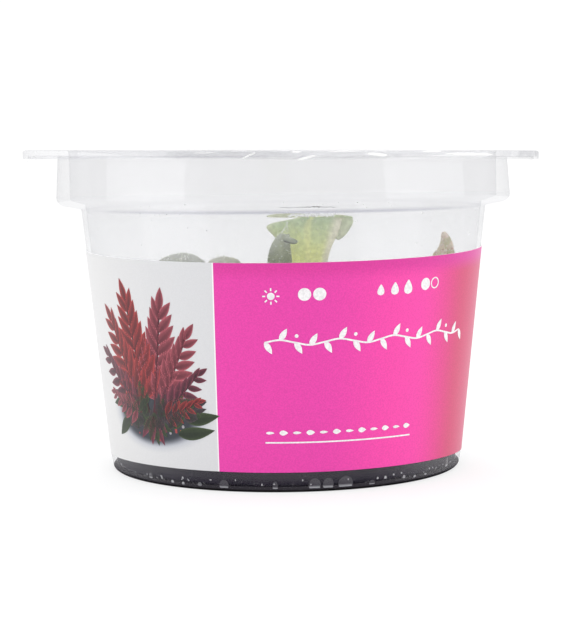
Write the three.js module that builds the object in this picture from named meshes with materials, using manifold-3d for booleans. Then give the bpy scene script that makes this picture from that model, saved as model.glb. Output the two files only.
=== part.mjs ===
// Butterwort plantlets growing on dark gel in a heat-sealed clear culture cup with a wrap label.
// Millimetres, +Z up. Origin at the centre of the cup's foot, on the surface that it stands on.
// The label's printed front faces -Y.

import * as THREE from 'three';
import { mergeVertices } from 'three/addons/utils/BufferGeometryUtils.js';
import Module from 'manifold-3d';

const wasm = await Module();
wasm.setup();

// ---- cup ----
const FLANGE_R = 47.5;          // outer radius of the sealing flange
const FLANGE_TOP = 58.45;       // height of the flange's top face
const FLANGE_THICK = 0.9;
const LIP_HEIGHT = 1.8;         // turned-down lip, from the flange's top face
const LIP_THICK = 0.9;
const WALL_TOP_R = 38.39;       // outer radius of the tapered wall, carried on to WALL_TOP_Z
const WALL_TOP_Z = 57.8;
const WALL_TAPER = 0.1030;      // loss of radius for each mm down
const WALL = 0.8;
const COLLAR_R = 41.42;         // outer radius of the collar under the flange
const COLLAR_FLARE = 0.065;     // gain of radius for each mm down
const COLLAR_IN = 39.45;        // radius of its upright inside face
const SHOULDER_Z = 48.25;       // where the wall meets the step that carries the collar
const SHOULDER_RISE = 0.55;     // the step rises outwards by this much
const SHOULDER_THICK = 0.85;
const COLLAR_CORNER = 1.5;
const LEDGE_FILLET = 0.6;       // inside the collar, at the step
const EDGE = 0.3;               // small edge breaks
const FOOT_FILLET = 0.8;
const FLOOR_FILLET = 0.8;       // the same corner inside
const FOOT_WIDTH = 4.0;         // flat ring that the cup stands on
const BASE_RECESS = 0.4;
const BASE_THICK = 0.7;
const CUP_SIDES = 60;

// ---- film, label and gel ----
const FILM_R = 47.1;
const FILM_THICK = 0.3;
const FILM_SAG = 1.5;           // slack of the film over the mouth
const FILM_WAVE = 0.45;         // height of its wrinkles
const FILM_SIDES = 36;
const LABEL_LOW = 3.65;
const LABEL_HIGH = 39.72;
const LABEL_HALF_TURN = 90;     // degrees to each side of the front
const LABEL_TOP_RISE = 1.1;     // it is cut straighter than the cone: its top edge rises at the ends
const LABEL_LOW_DIP = 0.95;     // and its low edge dips there
const LABEL_GAP = 0.15;
const LABEL_THICK = 0.25;
const GEL_TOP = 15.4;
const GEL_GAP = 0.25;           // between the gel and the cup
const GEL_EDGE_RISE = 0.8;      // the gel's edge climbs the wall a little
const GEL_EDGE_WIDTH = 1.2;
const HOLE_R = 2.6;             // plain hole for each root-stock
const HOLE_DEPTH = 7.0;

// ---- plantlets ----
const CELL_GAP = 0.7;           // kept between neighbouring rosettes
const WALL_ROOM = 33.3;         // radius that the leaves keep to
const ROOT_DEPTH = 6.6;
const CROWN_R = 2.3;
const CROWN_RISE = 2.2;
const CROWN_SIDES = 10;
const ROOT_OUT = 1.2;           // where a leaf starts inside the crown: out from its axis
const ROOT_UP = [0.85, 1.3, 1.7];  // and up from the gel, for each whorl from the outside in
const LEAF_THICK = 0.9;
const EDGE_THICK = 0.62;
const GOLDEN = 137.508;         // degrees from one leaf to the next

// Each whorl of a rosette, from the outside in. Lengths and widths are a leaf's, tilt is its rise
// from the gel in degrees, arch is how early it bends over, spoon is how far its margins are raised.
const WHORLS = [
  { count: 6, length: 15.0, width: 7.8, tilt: 25, arch: 0.6, spoon: 0.3, columns: 5, steps: 5 },
  { count: 4, length: 16.0, width: 6.8, tilt: 47, arch: 0.5, spoon: 0.42, columns: 5, steps: 5 },
  { count: 3, length: 12.0, width: 4.6, tilt: 70, arch: 0.4, spoon: 0.6, columns: 3, steps: 4 },
];

// Leaves that show above the label, as rows from the stalk to the tip. An upright row has its left and
// right x, its y and z, and how far its middle stands out to the front. A free row gives its two ends.
const upright = ([left, right, y, z, belly]) => [left, y, z, right, y, z, belly];
const FAN = {
  columns: 7,
  steps: 11,
  rows: [
    [1.3, 4.5, -15.3, 16.9, 0.3],
    [0.8, 5.3, -18.2, 24.0, 0.7],
    [0.6, 6.2, -22.0, 32.0, 0.8],
    [0.4, 7.5, -26.2, 39.3, 0.6],
    [-0.3, 8.3, -27.9, 42.0, 0.5],
    [-1.7, 9.2, -29.2, 44.0, 0.4],
    [-2.95, 10.0, -30.2, 45.7, 0.3],
    [1.1, 10.4, -30.9, 46.75, 0.25],
    [2.8, 10.6, -31.3, 47.3, 0.2],
  ].map(upright),
};
// The fan leaf's top margin is rolled, and its right margin is folded to the front.
const FAN_ROLL = {
  columns: 3,
  steps: 6,
  rows: [
    [-2.85, -31.9, 47.4, -2.85, -31.9, 47.3, 0.0],
    [-0.8, -31.9, 47.65, -0.8, -32.0, 47.2, 0.1],
    [1.7, -31.8, 47.7, 1.7, -31.9, 47.1, 0.15],
    [4.7, -31.6, 47.65, 4.7, -31.5, 47.0, 0.15],
    [7.7, -31.4, 47.55, 7.7, -31.25, 46.95, 0.15],
    [10.4, -31.0, 47.35, 10.4, -30.95, 46.9, 0.1],
    [11.7, -30.5, 47.1, 11.7, -30.5, 46.95, 0.0],
  ],
};
const FAN_LAPEL = {
  columns: 3,
  steps: 5,
  rows: [
    [8.9, -29.0, 43.5, 9.2, -28.9, 43.45, 0.0],
    [9.2, -29.4, 44.1, 10.2, -29.0, 44.05, 0.2],
    [9.35, -29.8, 44.9, 11.0, -29.3, 44.85, 0.3],
    [9.5, -30.2, 45.8, 11.6, -29.7, 45.75, 0.35],
    [9.7, -30.6, 46.6, 11.85, -30.1, 46.6, 0.3],
    [9.8, -30.9, 47.2, 11.6, -30.6, 47.15, 0.1],
  ],
};
const FINGER = {
  columns: 5,
  steps: 10,
  rows: [
    [1.8, 3.6, -15.6, 16.9, 0.5],
    [0.3, 2.7, -22.5, 24.5, 0.8],
    [-2.3, 1.2, -29.0, 33.5, 1.2],
    [-2.7, 1.3, -31.7, 39.2, 1.5],
    [-2.4, 1.1, -32.4, 41.4, 1.5],
    [-1.8, 0.95, -32.8, 42.9, 1.4],
    [-1.05, 0.95, -33.0, 43.9, 1.1],
    [-0.35, 0.7, -33.2, 44.5, 0.5],
  ].map(upright),
};
const FINGER_BEAK = {
  columns: 3,
  steps: 3,
  rows: [
    [0.0, -33.9, 44.3, -0.1, -34.0, 43.3, 0.3],
    [0.95, -34.3, 44.05, 0.75, -34.4, 43.1, 0.35],
    [1.65, -34.5, 43.65, 1.5, -34.5, 43.0, 0.25],
    [2.3, -34.5, 43.2, 2.25, -34.5, 43.1, 0.0],
  ],
};
const HORN = {
  columns: 5,
  steps: 9,
  rows: [
    [19.8, 21.6, -4.2, 16.9, 0.3],
    [21.4, 24.4, -8.0, 24.0, 0.5],
    [23.6, 28.0, -12.6, 32.0, 0.6],
    [26.2, 30.2, -16.2, 39.3, 0.7],
    [27.15, 30.15, -16.7, 40.5, 0.6],
    [27.8, 29.9, -17.0, 41.8, 0.5],
    [28.0, 29.3, -17.2, 42.9, 0.35],
    [28.15, 28.4, -17.2, 43.75, 0.0],
  ].map(upright),
};
const MOUND = {
  columns: 5,
  steps: 9,
  rows: [
    [-15.7, -14.3, -6.2, 16.9, 0.3],
    [-17.6, -13.8, -11.0, 24.0, 0.6],
    [-20.6, -13.2, -16.5, 32.0, 1.0],
    [-22.5, -13.4, -19.3, 37.2, 1.2],
    [-22.4, -13.8, -20.0, 39.1, 1.0],
    [-21.3, -14.7, -20.2, 39.8, 0.7],
    [-20.0, -15.7, -20.3, 40.25, 0.4],
    [-18.4, -17.2, -20.3, 40.5, 0.1],
  ].map(upright),
};
const SMALL_MOUND = {
  columns: 5,
  steps: 8,
  rows: [
    [-13.7, -12.5, -6.0, 16.9, 0.3],
    [-14.1, -11.1, -8.5, 24.0, 0.5],
    [-14.2, -9.0, -11.5, 32.0, 0.8],
    [-14.0, -7.5, -13.5, 37.2, 0.9],
    [-13.6, -7.7, -14.0, 38.7, 0.7],
    [-12.8, -8.6, -14.1, 39.15, 0.4],
    [-11.4, -10.0, -14.1, 39.5, 0.1],
  ].map(upright),
};

// The crowns' places on the gel, the first leaf's direction, and the leaves given by rows.
const PLANTLETS = [
  {
    name: 'plantlet_centre', at: [2.5, -14.0], first: 62, size: 0.95, colour: 0x8fae3a,
    shaped: [FAN, FAN_ROLL, FAN_LAPEL, FINGER, FINGER_BEAK],
  },
  {
    name: 'plantlet_left', at: [-14.5, -5.0], first: 100, size: 1.0, colour: 0x86a53c,
    shaped: [MOUND, SMALL_MOUND],
  },
  {
    name: 'plantlet_right', at: [20.0, -3.0], first: 20, size: 0.92, colour: 0x7e8f45,
    shaped: [HORN],
  },
  { name: 'plantlet_back_left', at: [-11.0, 17.5], first: 200, size: 1.0, colour: 0x8aab3e, shaped: [] },
  { name: 'plantlet_back_right', at: [12.0, 17.5], first: 330, size: 0.97, colour: 0x8cae44, shaped: [] },
];

// ---- small tools ----

const wallRadius = (z) => WALL_TOP_R - WALL_TAPER * (WALL_TOP_Z - z);
const collarRadius = (z) => COLLAR_R + COLLAR_FLARE * (WALL_TOP_Z - z);
const degrees = (angle) => (angle * Math.PI) / 180;
const mix = (a, b, t) => a + (b - a) * t;

// A repeatable draw between -1 and 1 for the numbered leaf.
function draw(seed) {
  const value = Math.sin(seed * 12.9898 + 4.1414) * 43758.5453;
  return 2 * (value - Math.floor(value)) - 1;
}

// Points of a round corner, from one angle to another, in the profile's plane.
function arc(r, z, radius, from, to, steps) {
  const points = [];
  for (let i = 0; i <= steps; i += 1) {
    const angle = degrees(mix(from, to, i / steps));
    points.push([r + radius * Math.cos(angle), z + radius * Math.sin(angle)]);
  }
  return points;
}

// A solid of revolution about +Z from a profile of [radius, height] points.
function turned(profile, sides) {
  const points = profile.map(([r, z]) => new THREE.Vector2(r, z));
  const geometry = new THREE.LatheGeometry(points, sides);
  geometry.rotateX(Math.PI / 2);
  return geometry;
}

function geometryOf(positions, triangles) {
  const geometry = new THREE.BufferGeometry();
  geometry.setAttribute('position', new THREE.Float32BufferAttribute(positions, 3));
  geometry.setIndex(triangles);
  return geometry;
}

// A closed mesh as a manifold solid: shared vertices merged, collapsed triangles left out.
function solidOf(geometry) {
  const bare = geometry.clone();
  bare.deleteAttribute('normal');
  bare.deleteAttribute('uv');
  const merged = mergeVertices(bare, 1e-4);
  const index = merged.getIndex().array;
  const kept = [];
  for (let i = 0; i < index.length; i += 3) {
    const [a, b, c] = [index[i], index[i + 1], index[i + 2]];
    if (a !== b && b !== c && c !== a) {
      kept.push(a, b, c);
    }
  }
  const mesh = new wasm.Mesh({
    numProp: 3,
    vertProperties: new Float32Array(merged.getAttribute('position').array),
    triVerts: new Uint32Array(kept),
  });
  return new wasm.Manifold(mesh);
}

function geometryFrom(solid) {
  const mesh = solid.getMesh();
  return geometryOf(Array.from(mesh.vertProperties), Array.from(mesh.triVerts));
}

// A closed thin solid from two sheets of columns x rows points, split into triangles alike on both.
function sheetSolid(columns, rows, upper, lower) {
  const positions = [];
  const triangles = [];
  for (const sheet of [upper, lower]) {
    for (let row = 0; row < rows; row += 1) {
      for (let column = 0; column < columns; column += 1) {
        positions.push(...sheet(column, row));
      }
    }
  }
  const below = columns * rows;
  const at = (column, row) => row * columns + column;
  const quad = (a, b, c, d) => triangles.push(a, b, c, a, c, d);
  for (let row = 0; row + 1 < rows; row += 1) {
    for (let column = 0; column + 1 < columns; column += 1) {
      const [a, b] = [at(column, row), at(column + 1, row)];
      const [c, d] = [at(column + 1, row + 1), at(column, row + 1)];
      quad(a, b, c, d);
      triangles.push(below + a, below + c, below + b, below + a, below + d, below + c);
    }
    const [left, leftNext] = [at(0, row), at(0, row + 1)];
    const [right, rightNext] = [at(columns - 1, row), at(columns - 1, row + 1)];
    quad(left, leftNext, below + leftNext, below + left);
    quad(rightNext, right, below + right, below + rightNext);
  }
  for (let column = 0; column + 1 < columns; column += 1) {
    const [near, nearNext] = [at(column, 0), at(column + 1, 0)];
    const [far, farNext] = [at(column, rows - 1), at(column + 1, rows - 1)];
    quad(nearNext, near, below + near, below + nearNext);
    quad(far, farNext, below + farNext, below + far);
  }
  return geometryOf(positions, triangles);
}

// ---- cup ----

function cupGeometry() {
  const footOut = wallRadius(0) - FOOT_FILLET;
  const footIn = footOut - FOOT_WIDTH;
  const floor = BASE_RECESS + BASE_THICK;
  const step = SHOULDER_Z + SHOULDER_THICK;
  const corner = SHOULDER_Z + SHOULDER_RISE + COLLAR_CORNER;
  const ledge = step + SHOULDER_RISE;
  const lipBottom = FLANGE_TOP - LIP_HEIGHT;
  const underFlange = FLANGE_TOP - FLANGE_THICK;
  const innerWall = (z) => wallRadius(z) - WALL;
  return turned([
    [0, BASE_RECESS],
    [footIn - BASE_RECESS, BASE_RECESS],
    [footIn, 0],
    ...arc(footOut, FOOT_FILLET, FOOT_FILLET, -90, 0, 2),
    [wallRadius(SHOULDER_Z), SHOULDER_Z],
    ...arc(collarRadius(corner) - COLLAR_CORNER, corner, COLLAR_CORNER, -90, 0, 2),
    [collarRadius(underFlange), underFlange],
    [FLANGE_R - LIP_THICK, underFlange],
    [FLANGE_R - LIP_THICK, lipBottom],
    [FLANGE_R, lipBottom],
    [FLANGE_R, FLANGE_TOP - EDGE],
    [FLANGE_R - EDGE, FLANGE_TOP],
    [COLLAR_IN + EDGE, FLANGE_TOP],
    [COLLAR_IN, FLANGE_TOP - EDGE],
    ...arc(COLLAR_IN - LEDGE_FILLET, ledge + LEDGE_FILLET, LEDGE_FILLET, 0, -90, 2),
    [innerWall(step) + EDGE, step],
    [innerWall(step - EDGE), step - EDGE],
    ...arc(innerWall(floor) - FLOOR_FILLET, floor + FLOOR_FILLET, FLOOR_FILLET, 0, -90, 2),
    [0, floor],
  ], CUP_SIDES);
}

// ---- sealing film ----

// Height of the slack film over the mouth: a shallow sag with long radial wrinkles that die out on
// the sealed ring.
function filmHeight(x, y) {
  const r = Math.hypot(x, y) / (COLLAR_IN - EDGE);
  if (r >= 1) {
    return FLANGE_TOP;
  }
  const turn = Math.atan2(y, x);
  const slack = 1 - r * r;
  const fold = Math.cos(5 * turn + 2.2 * r + 0.6) + 0.7 * Math.cos(9 * turn - 3.1 * r + 2.0);
  return FLANGE_TOP - FILM_SAG * slack - FILM_WAVE * fold * r * Math.sqrt(slack);
}

function filmGeometry() {
  const radii = [9, 18, 26, 32, 36, COLLAR_IN - EDGE, FILM_R];
  const positions = [];
  const triangles = [];
  for (const lift of [FILM_THICK, 0]) {
    positions.push(0, 0, filmHeight(0, 0) + lift);
    for (const radius of radii) {
      for (let side = 0; side < FILM_SIDES; side += 1) {
        const turn = (side / FILM_SIDES) * 2 * Math.PI;
        const [x, y] = [radius * Math.cos(turn), radius * Math.sin(turn)];
        positions.push(x, y, filmHeight(x, y) + lift);
      }
    }
  }
  const below = positions.length / 6;
  const at = (ring, side) => 1 + ring * FILM_SIDES + (side % FILM_SIDES);
  const both = (a, b, c) => triangles.push(a, b, c, below + a, below + c, below + b);
  for (let side = 0; side < FILM_SIDES; side += 1) {
    both(0, at(0, side), at(0, side + 1));
    for (let ring = 0; ring + 1 < radii.length; ring += 1) {
      both(at(ring, side), at(ring + 1, side), at(ring + 1, side + 1));
      both(at(ring, side), at(ring + 1, side + 1), at(ring, side + 1));
    }
    const [rim, next] = [at(radii.length - 1, side), at(radii.length - 1, side + 1)];
    triangles.push(rim, below + rim, below + next, rim, below + next, next);
  }
  return geometryOf(positions, triangles);
}

// ---- label ----

function labelGeometry() {
  const facet = 360 / CUP_SIDES;
  const spans = 2 * Math.round(LABEL_HALF_TURN / facet);
  const point = (lift) => (column, row) => {
    const turn = degrees((column - spans / 2) * facet);
    const away = 1 - Math.cos(turn);
    const z = row === 0 ? LABEL_LOW - LABEL_LOW_DIP * away * away : LABEL_HIGH + LABEL_TOP_RISE * away;
    const r = wallRadius(z) + lift;
    return [r * Math.sin(turn), -r * Math.cos(turn), z];
  };
  return sheetSolid(spans + 1, 2, point(LABEL_GAP + LABEL_THICK), point(LABEL_GAP));
}

// ---- gel ----

function gelGeometry() {
  const floor = BASE_RECESS + BASE_THICK + GEL_GAP;
  const side = (z) => wallRadius(z) - WALL - GEL_GAP;
  const edgeZ = GEL_TOP + GEL_EDGE_RISE;
  let gel = solidOf(turned([
    [0, floor],
    [side(floor) - FLOOR_FILLET, floor],
    [side(floor + FLOOR_FILLET), floor + FLOOR_FILLET],
    [side(edgeZ), edgeZ],
    [side(edgeZ) - GEL_EDGE_WIDTH, GEL_TOP],
    [0, GEL_TOP],
  ], CUP_SIDES));
  for (const { at } of PLANTLETS) {
    const drill = new THREE.CylinderGeometry(HOLE_R, HOLE_R, 2 * HOLE_DEPTH, 16);
    drill.rotateX(Math.PI / 2);
    drill.translate(at[0], at[1], GEL_TOP);
    gel = gel.subtract(solidOf(drill));
  }
  return geometryFrom(gel);
}

// ---- plantlets ----

// Width of a blade along its length, as a share of its greatest width: a narrow stalk that widens
// to a rounded tip.
function bladeWidth(t) {
  const widest = 0.66;
  if (t < widest) {
    return mix(0.32, 1, (1 - Math.cos((t / widest) * Math.PI)) / 2);
  }
  const over = (t - widest) / (1 - widest);
  return Math.max(0.24, Math.sqrt(1 - over ** 2.4));
}

// A leaf's thickness: more at the stalk and along the middle.
const fleshAt = (u, t) => mix(LEAF_THICK * mix(1.5, 1, Math.min(1, 3 * t)), EDGE_THICK, u * u);

// One fleshy leaf in the plantlet's own frame, its root inside the crown. It leaves in the given
// direction and ends `reach` out and `rise` up from the gel, with its margins raised like a spoon.
function leafSolid(leaf) {
  const { direction, reach, rise, rootUp, width, arch, spoon, columns, steps } = leaf;
  const out = [Math.cos(direction), Math.sin(direction)];
  const side = [-out[1], out[0]];
  const root = [ROOT_OUT, rootUp];
  const knee = [reach * mix(0.62, 0.3, arch), rootUp + (rise - rootUp) * mix(0.35, 0.98, arch)];
  const tip = [reach, rise];
  const along = (t, i) => (1 - t) ** 2 * root[i] + 2 * t * (1 - t) * knee[i] + t * t * tip[i];
  const slope = (t, i) => (1 - t) * (knee[i] - root[i]) + t * (tip[i] - knee[i]);
  const sheet = (sign) => (column, row) => {
    const t = row / steps;
    const u = 1 - (2 * column) / (columns - 1);
    const half = (bladeWidth(t) * width) / 2;
    const steep = Math.hypot(slope(t, 0), slope(t, 1));
    const face = [-slope(t, 1) / steep, slope(t, 0) / steep];
    const lift = spoon * half * u * u + (sign * fleshAt(u, t)) / 2;
    const across = u * half * (1 - 0.25 * spoon * u * u);
    const r = along(t, 0) + face[0] * lift;
    const z = along(t, 1) + face[1] * lift;
    return [out[0] * r + side[0] * across, out[1] * r + side[1] * across, z];
  };
  return solidOf(sheetSolid(columns, steps + 1, sheet(1), sheet(-1)));
}

// The row at t on a smooth curve through all the rows.
function spline(rows, t) {
  const place = Math.min(1, Math.max(0, t)) * (rows.length - 1);
  const i = Math.min(Math.floor(place), rows.length - 2);
  const f = place - i;
  const [p, q, r, s] = [rows[Math.max(i - 1, 0)], rows[i], rows[i + 1], rows[Math.min(i + 2, rows.length - 1)]];
  return q.map((value, k) => 0.5 * (2 * value + (r[k] - p[k]) * f
    + (2 * p[k] - 5 * value + 4 * r[k] - s[k]) * f * f + (3 * value - p[k] - 3 * r[k] + s[k]) * f ** 3));
}

// A leaf whose sheet runs smoothly through its rows, in the part's frame.
function shapedSolid({ rows, columns, steps }) {
  const ends = (t) => {
    const row = spline(rows, t);
    return [new THREE.Vector3(...row.slice(0, 3)), new THREE.Vector3(...row.slice(3, 6)), row[6]];
  };
  const middle = (u, t) => {
    const [left, right, belly] = ends(t);
    const [leftBefore, rightBefore] = ends(t - 0.03);
    const [leftAfter, rightAfter] = ends(t + 0.03);
    const along = leftAfter.add(rightAfter).sub(leftBefore).sub(rightBefore);
    const front = right.clone().sub(left).cross(along).normalize();
    return left.lerp(right, (u + 1) / 2).addScaledVector(front, belly * (1 - u * u));
  };
  const sheet = (sign) => (column, row) => {
    const t = row / steps;
    const u = (2 * column) / (columns - 1) - 1;
    const across = middle(u + 0.05, t).sub(middle(u - 0.05, t));
    const along = middle(u, Math.min(1, t + 0.02)).sub(middle(u, Math.max(0, t - 0.02)));
    const normal = across.cross(along).normalize();
    return middle(u, t).addScaledVector(normal, (sign * fleshAt(u, t)) / 2).toArray();
  };
  return solidOf(sheetSolid(columns, steps + 1, sheet(1), sheet(-1)));
}

// How far a leaf of a given half width may reach from its crown before it meets the cup's wall or
// the middle line to a neighbouring rosette.
function roomFor(plantlet, direction, halfWidth, wanted) {
  const [px, py] = plantlet.at;
  const [dx, dy] = [Math.cos(direction), Math.sin(direction)];
  const planes = [];
  for (let i = 0; i < 24; i += 1) {
    const turn = degrees(i * 15);
    const [nx, ny] = [Math.cos(turn), Math.sin(turn)];
    planes.push([nx, ny, WALL_ROOM - nx * px - ny * py]);
  }
  for (const other of PLANTLETS) {
    if (other !== plantlet) {
      const [ax, ay] = [other.at[0] - px, other.at[1] - py];
      const apart = Math.hypot(ax, ay);
      planes.push([ax / apart, ay / apart, (apart - CELL_GAP) / 2]);
    }
  }
  let reach = wanted;
  for (const [nx, ny, distance] of planes) {
    const ahead = nx * dx + ny * dy;
    const beside = Math.abs(nx * dy - ny * dx) * halfWidth;
    if (ahead > 0.08) {
      reach = Math.min(reach, (distance - beside) / ahead);
    }
  }
  return Math.max(1.5, reach);
}

// The whorls of one rosette, leaf by leaf on the golden angle.
function leavesOf(plantlet, number) {
  const leaves = [];
  let turn = plantlet.first;
  for (const [ring, whorl] of WHORLS.entries()) {
    for (let i = 0; i < whorl.count; i += 1) {
      const seed = 100 * number + 10 * ring + i;
      const direction = degrees(turn + 9 * draw(seed));
      const length = whorl.length * plantlet.size * (1 + 0.1 * draw(seed + 0.3));
      const width = whorl.width * plantlet.size * (1 + 0.12 * draw(seed + 0.6));
      const spread = length * Math.cos(degrees(whorl.tilt + 6 * draw(seed + 0.8)));
      const reach = roomFor(plantlet, direction, width / 2 + 0.4, spread);
      const rise = ROOT_UP[ring] + Math.sqrt(length * length - reach * reach);
      leaves.push({ ...whorl, direction, reach, rise, width, rootUp: ROOT_UP[ring] });
      turn += GOLDEN;
    }
  }
  return leaves;
}

// The outer body alone: hollows that crossing leaves seal are filled.
function outerBody(solid) {
  return solid.decompose().reduce((most, piece) => (piece.volume() > most.volume() ? piece : most));
}

function crownSolid() {
  return solidOf(turned([
    [0, -ROOT_DEPTH],
    [CROWN_R * 0.5, -ROOT_DEPTH],
    [CROWN_R, -1.2],
    [CROWN_R, CROWN_RISE * 0.5],
    [CROWN_R * 0.6, CROWN_RISE],
    [0, CROWN_RISE],
  ], CROWN_SIDES));
}

function plantletGeometry(plantlet, number) {
  let plant = crownSolid();
  for (const leaf of leavesOf(plantlet, number)) {
    plant = plant.add(leafSolid(leaf));
  }
  plant = plant.translate([plantlet.at[0], plantlet.at[1], GEL_TOP]);
  for (const leaf of plantlet.shaped) {
    plant = plant.add(shapedSolid(leaf));
  }
  return geometryFrom(outerBody(plant));
}

// ---- the object ----

const part = new THREE.Group();

function place(name, geometry, finish) {
  const mesh = new THREE.Mesh(geometry, new THREE.MeshStandardMaterial(finish));
  mesh.name = name;
  part.add(mesh);
}

const clear = { transparent: true, metalness: 0 };
place('cup', cupGeometry(), { ...clear, color: 0xe9ebee, roughness: 0.15, opacity: 0.3 });
place('sealing_film', filmGeometry(), { ...clear, color: 0xf2f3f5, roughness: 0.1, opacity: 0.25 });
place('label', labelGeometry(), { color: 0xe6178d, roughness: 0.45, metalness: 0 });
place('culture_gel', gelGeometry(), { color: 0x242026, roughness: 0.25, metalness: 0 });
for (const [number, plantlet] of PLANTLETS.entries()) {
  place(plantlet.name, plantletGeometry(plantlet, number), {
    color: plantlet.colour,
    roughness: 0.4,
    metalness: 0,
  });
}

export default part;
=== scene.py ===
"""Butterwort plantlets on dark gel in a heat-sealed clear culture cup with a printed wrap label.

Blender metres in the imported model's frame: +Z up, the cup stands on z = 0, the label faces -Y.
Sizes are named in millimetres, as in the part's source, and turned to metres by MM.
"""

import math

import bpy
from mathutils import Matrix, Vector


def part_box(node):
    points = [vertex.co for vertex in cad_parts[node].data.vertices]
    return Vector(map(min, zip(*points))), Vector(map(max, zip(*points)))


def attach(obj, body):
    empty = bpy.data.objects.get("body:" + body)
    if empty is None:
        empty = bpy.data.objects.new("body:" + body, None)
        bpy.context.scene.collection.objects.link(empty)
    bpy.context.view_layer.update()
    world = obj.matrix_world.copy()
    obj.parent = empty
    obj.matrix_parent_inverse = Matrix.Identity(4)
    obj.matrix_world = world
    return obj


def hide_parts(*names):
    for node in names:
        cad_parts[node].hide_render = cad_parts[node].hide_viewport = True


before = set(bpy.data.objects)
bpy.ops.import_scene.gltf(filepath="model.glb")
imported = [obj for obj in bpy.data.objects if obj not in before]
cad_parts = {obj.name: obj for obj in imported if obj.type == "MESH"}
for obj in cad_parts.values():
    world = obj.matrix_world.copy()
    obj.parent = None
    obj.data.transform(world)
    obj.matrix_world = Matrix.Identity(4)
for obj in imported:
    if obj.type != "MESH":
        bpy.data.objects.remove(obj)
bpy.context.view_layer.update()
MM = 0.001

# ---- cup: as packed, but for the sizes marked otherwise ----
CUP_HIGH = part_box("cup")[1] / MM
FLANGE_R = CUP_HIGH.x
FLANGE_TOP = CUP_HIGH.z
FLANGE_THICK = 0.9
LIP_HEIGHT = 1.5                # the lip ends 0.3 higher than packed
LIP_THICK = 0.9
WALL_TOP_R = 38.39
WALL_TOP_Z = 57.8
WALL_TAPER = 0.1030
WALL = 0.8
COLLAR_R = 41.42
COLLAR_FLARE = 0.065
COLLAR_IN = 39.45
SHOULDER_Z = 48.25
SHOULDER_RISE = 0.55            # the step rises outwards
SHOULDER_THICK = 0.85
COLLAR_CORNER = 1.5
LEDGE_FILLET = 0.6
STEP_FILLET = 0.25
FLANGE_FILLET = 0.3
LIP_FILLET = 0.2
LIP_EDGE = 0.15
EDGE = 0.3
FOOT_FILLET = 0.9               # 0.1 rounder than packed
FLOOR_FILLET = 0.8
OFF_FLOOR = 0.03                # a hair's gap, so that foot and floor share no plane
FOOT_WIDTH = 4.0
BASE_RECESS = 0.35              # 0.05 less than packed
BASE_THICK = 0.5                # 0.2 thinner than packed
CUP_STEPS = 160
RIM_WARP = 0.012                # the flange is a little warped: it falls towards +X
RIM_ASIDE = 0.29                # and sits a little off centre
COLLAR_ASIDE = 0.07

# ---- film, label and gel: as packed, but both sheets are thinner here ----
FILM_R = 47.1
FILM_THICK = 0.12
FILM_SAG = 1.5
FILM_WAVE = 0.45
FILM_STEPS = 224
CREASES = 46                    # short creases pressed into the slack film
LABEL_LOW = 3.65
LABEL_HIGH = 39.72
LABEL_HALF_TURN = 90.0
LABEL_TOP_RISE = 1.1            # the label's top edge rises towards its ends
LABEL_LOW_DIP = 0.95            # and its low edge dips
LABEL_LIFT = 0.14
LABEL_THICK = 0.1
INK_LIFT = LABEL_LIFT + 0.025
INK_THICK = 0.015
GEL_TOP = 15.4
GEL_EDGE_RISE = 0.8
GEL_EDGE_WIDTH = 1.2
GEL_GAP = 0.06
HOLE_R = 2.6
HOLE_DEPTH = 7.0
GEL_STEPS = 128

# ---- label layout: turns in degrees from the front, heights and radii in mm ----
DIVIDER_TURN = -19.8
DIVIDER_LEAN = 1.42             # how far the divider leans over the label's height
SPRIG_TURN = -43.0
SUN_TURN = -3.6
SUN_HEIGHT = 34.1
DROP_TURNS = (27.0, 31.5, 36.0)
WHITE_INK = (0.80, 0.78, 0.79)

# White dots on the pink panel, the last one a ring: turn, height, inner and outer radius.
DOTS = [
    (SUN_TURN, SUN_HEIGHT, 0.0, 0.62), (5.4, 34.35, 0.0, 1.08), (9.5, 34.35, 0.0, 1.08),
    (42.4, 35.0, 0.0, 1.05), (46.2, 35.05, 0.78, 1.0),
]

# The posy's inks, each with its dark and its light shade.
INKS = {
    "crimson": ((0.035, 0.004, 0.009), (0.50, 0.055, 0.055)),
    "rose": ((0.070, 0.008, 0.018), (0.46, 0.10, 0.13)),
    "plum": ((0.020, 0.005, 0.012), (0.26, 0.050, 0.085)),
    "moss": ((0.010, 0.016, 0.010), (0.050, 0.075, 0.030)),
    "brown": ((0.014, 0.010, 0.014), (0.07, 0.05, 0.06)),
}

# Its feathers: how far aside of its middle, angle, length, pairs of leaflets and ink.
FRONDS = [
    (-2.0, 152, 14.5, 6, "plum"), (1.4, 28, 11.5, 6, "plum"), (-1.5, 126, 17.5, 7, "crimson"),
    (0.6, 52, 15.5, 7, "rose"), (-0.9, 104, 19.5, 8, "crimson"), (0.3, 77, 18.5, 8, "rose"),
    (-3.0, 176, 9.5, 5, "rose"), (2.0, 6, 8.5, 5, "crimson"),
]

# The inks of its berries.
BERRIES = [
    (0.34, 0.05, 0.05), (0.50, 0.16, 0.03), (0.16, 0.07, 0.17), (0.26, 0.28, 0.06), (0.30, 0.28, 0.30),
]

# ---- mist and wet beads inside the wall ----
MIST_TURN = -30.0
MIST_HEIGHT = 41.0
MIST_NEAR = 3.0                 # full within this distance
MIST_REACH = 19.0
MIST = 0.17
WET_BEADS = 34                  # in the line over the fan leaf

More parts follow.
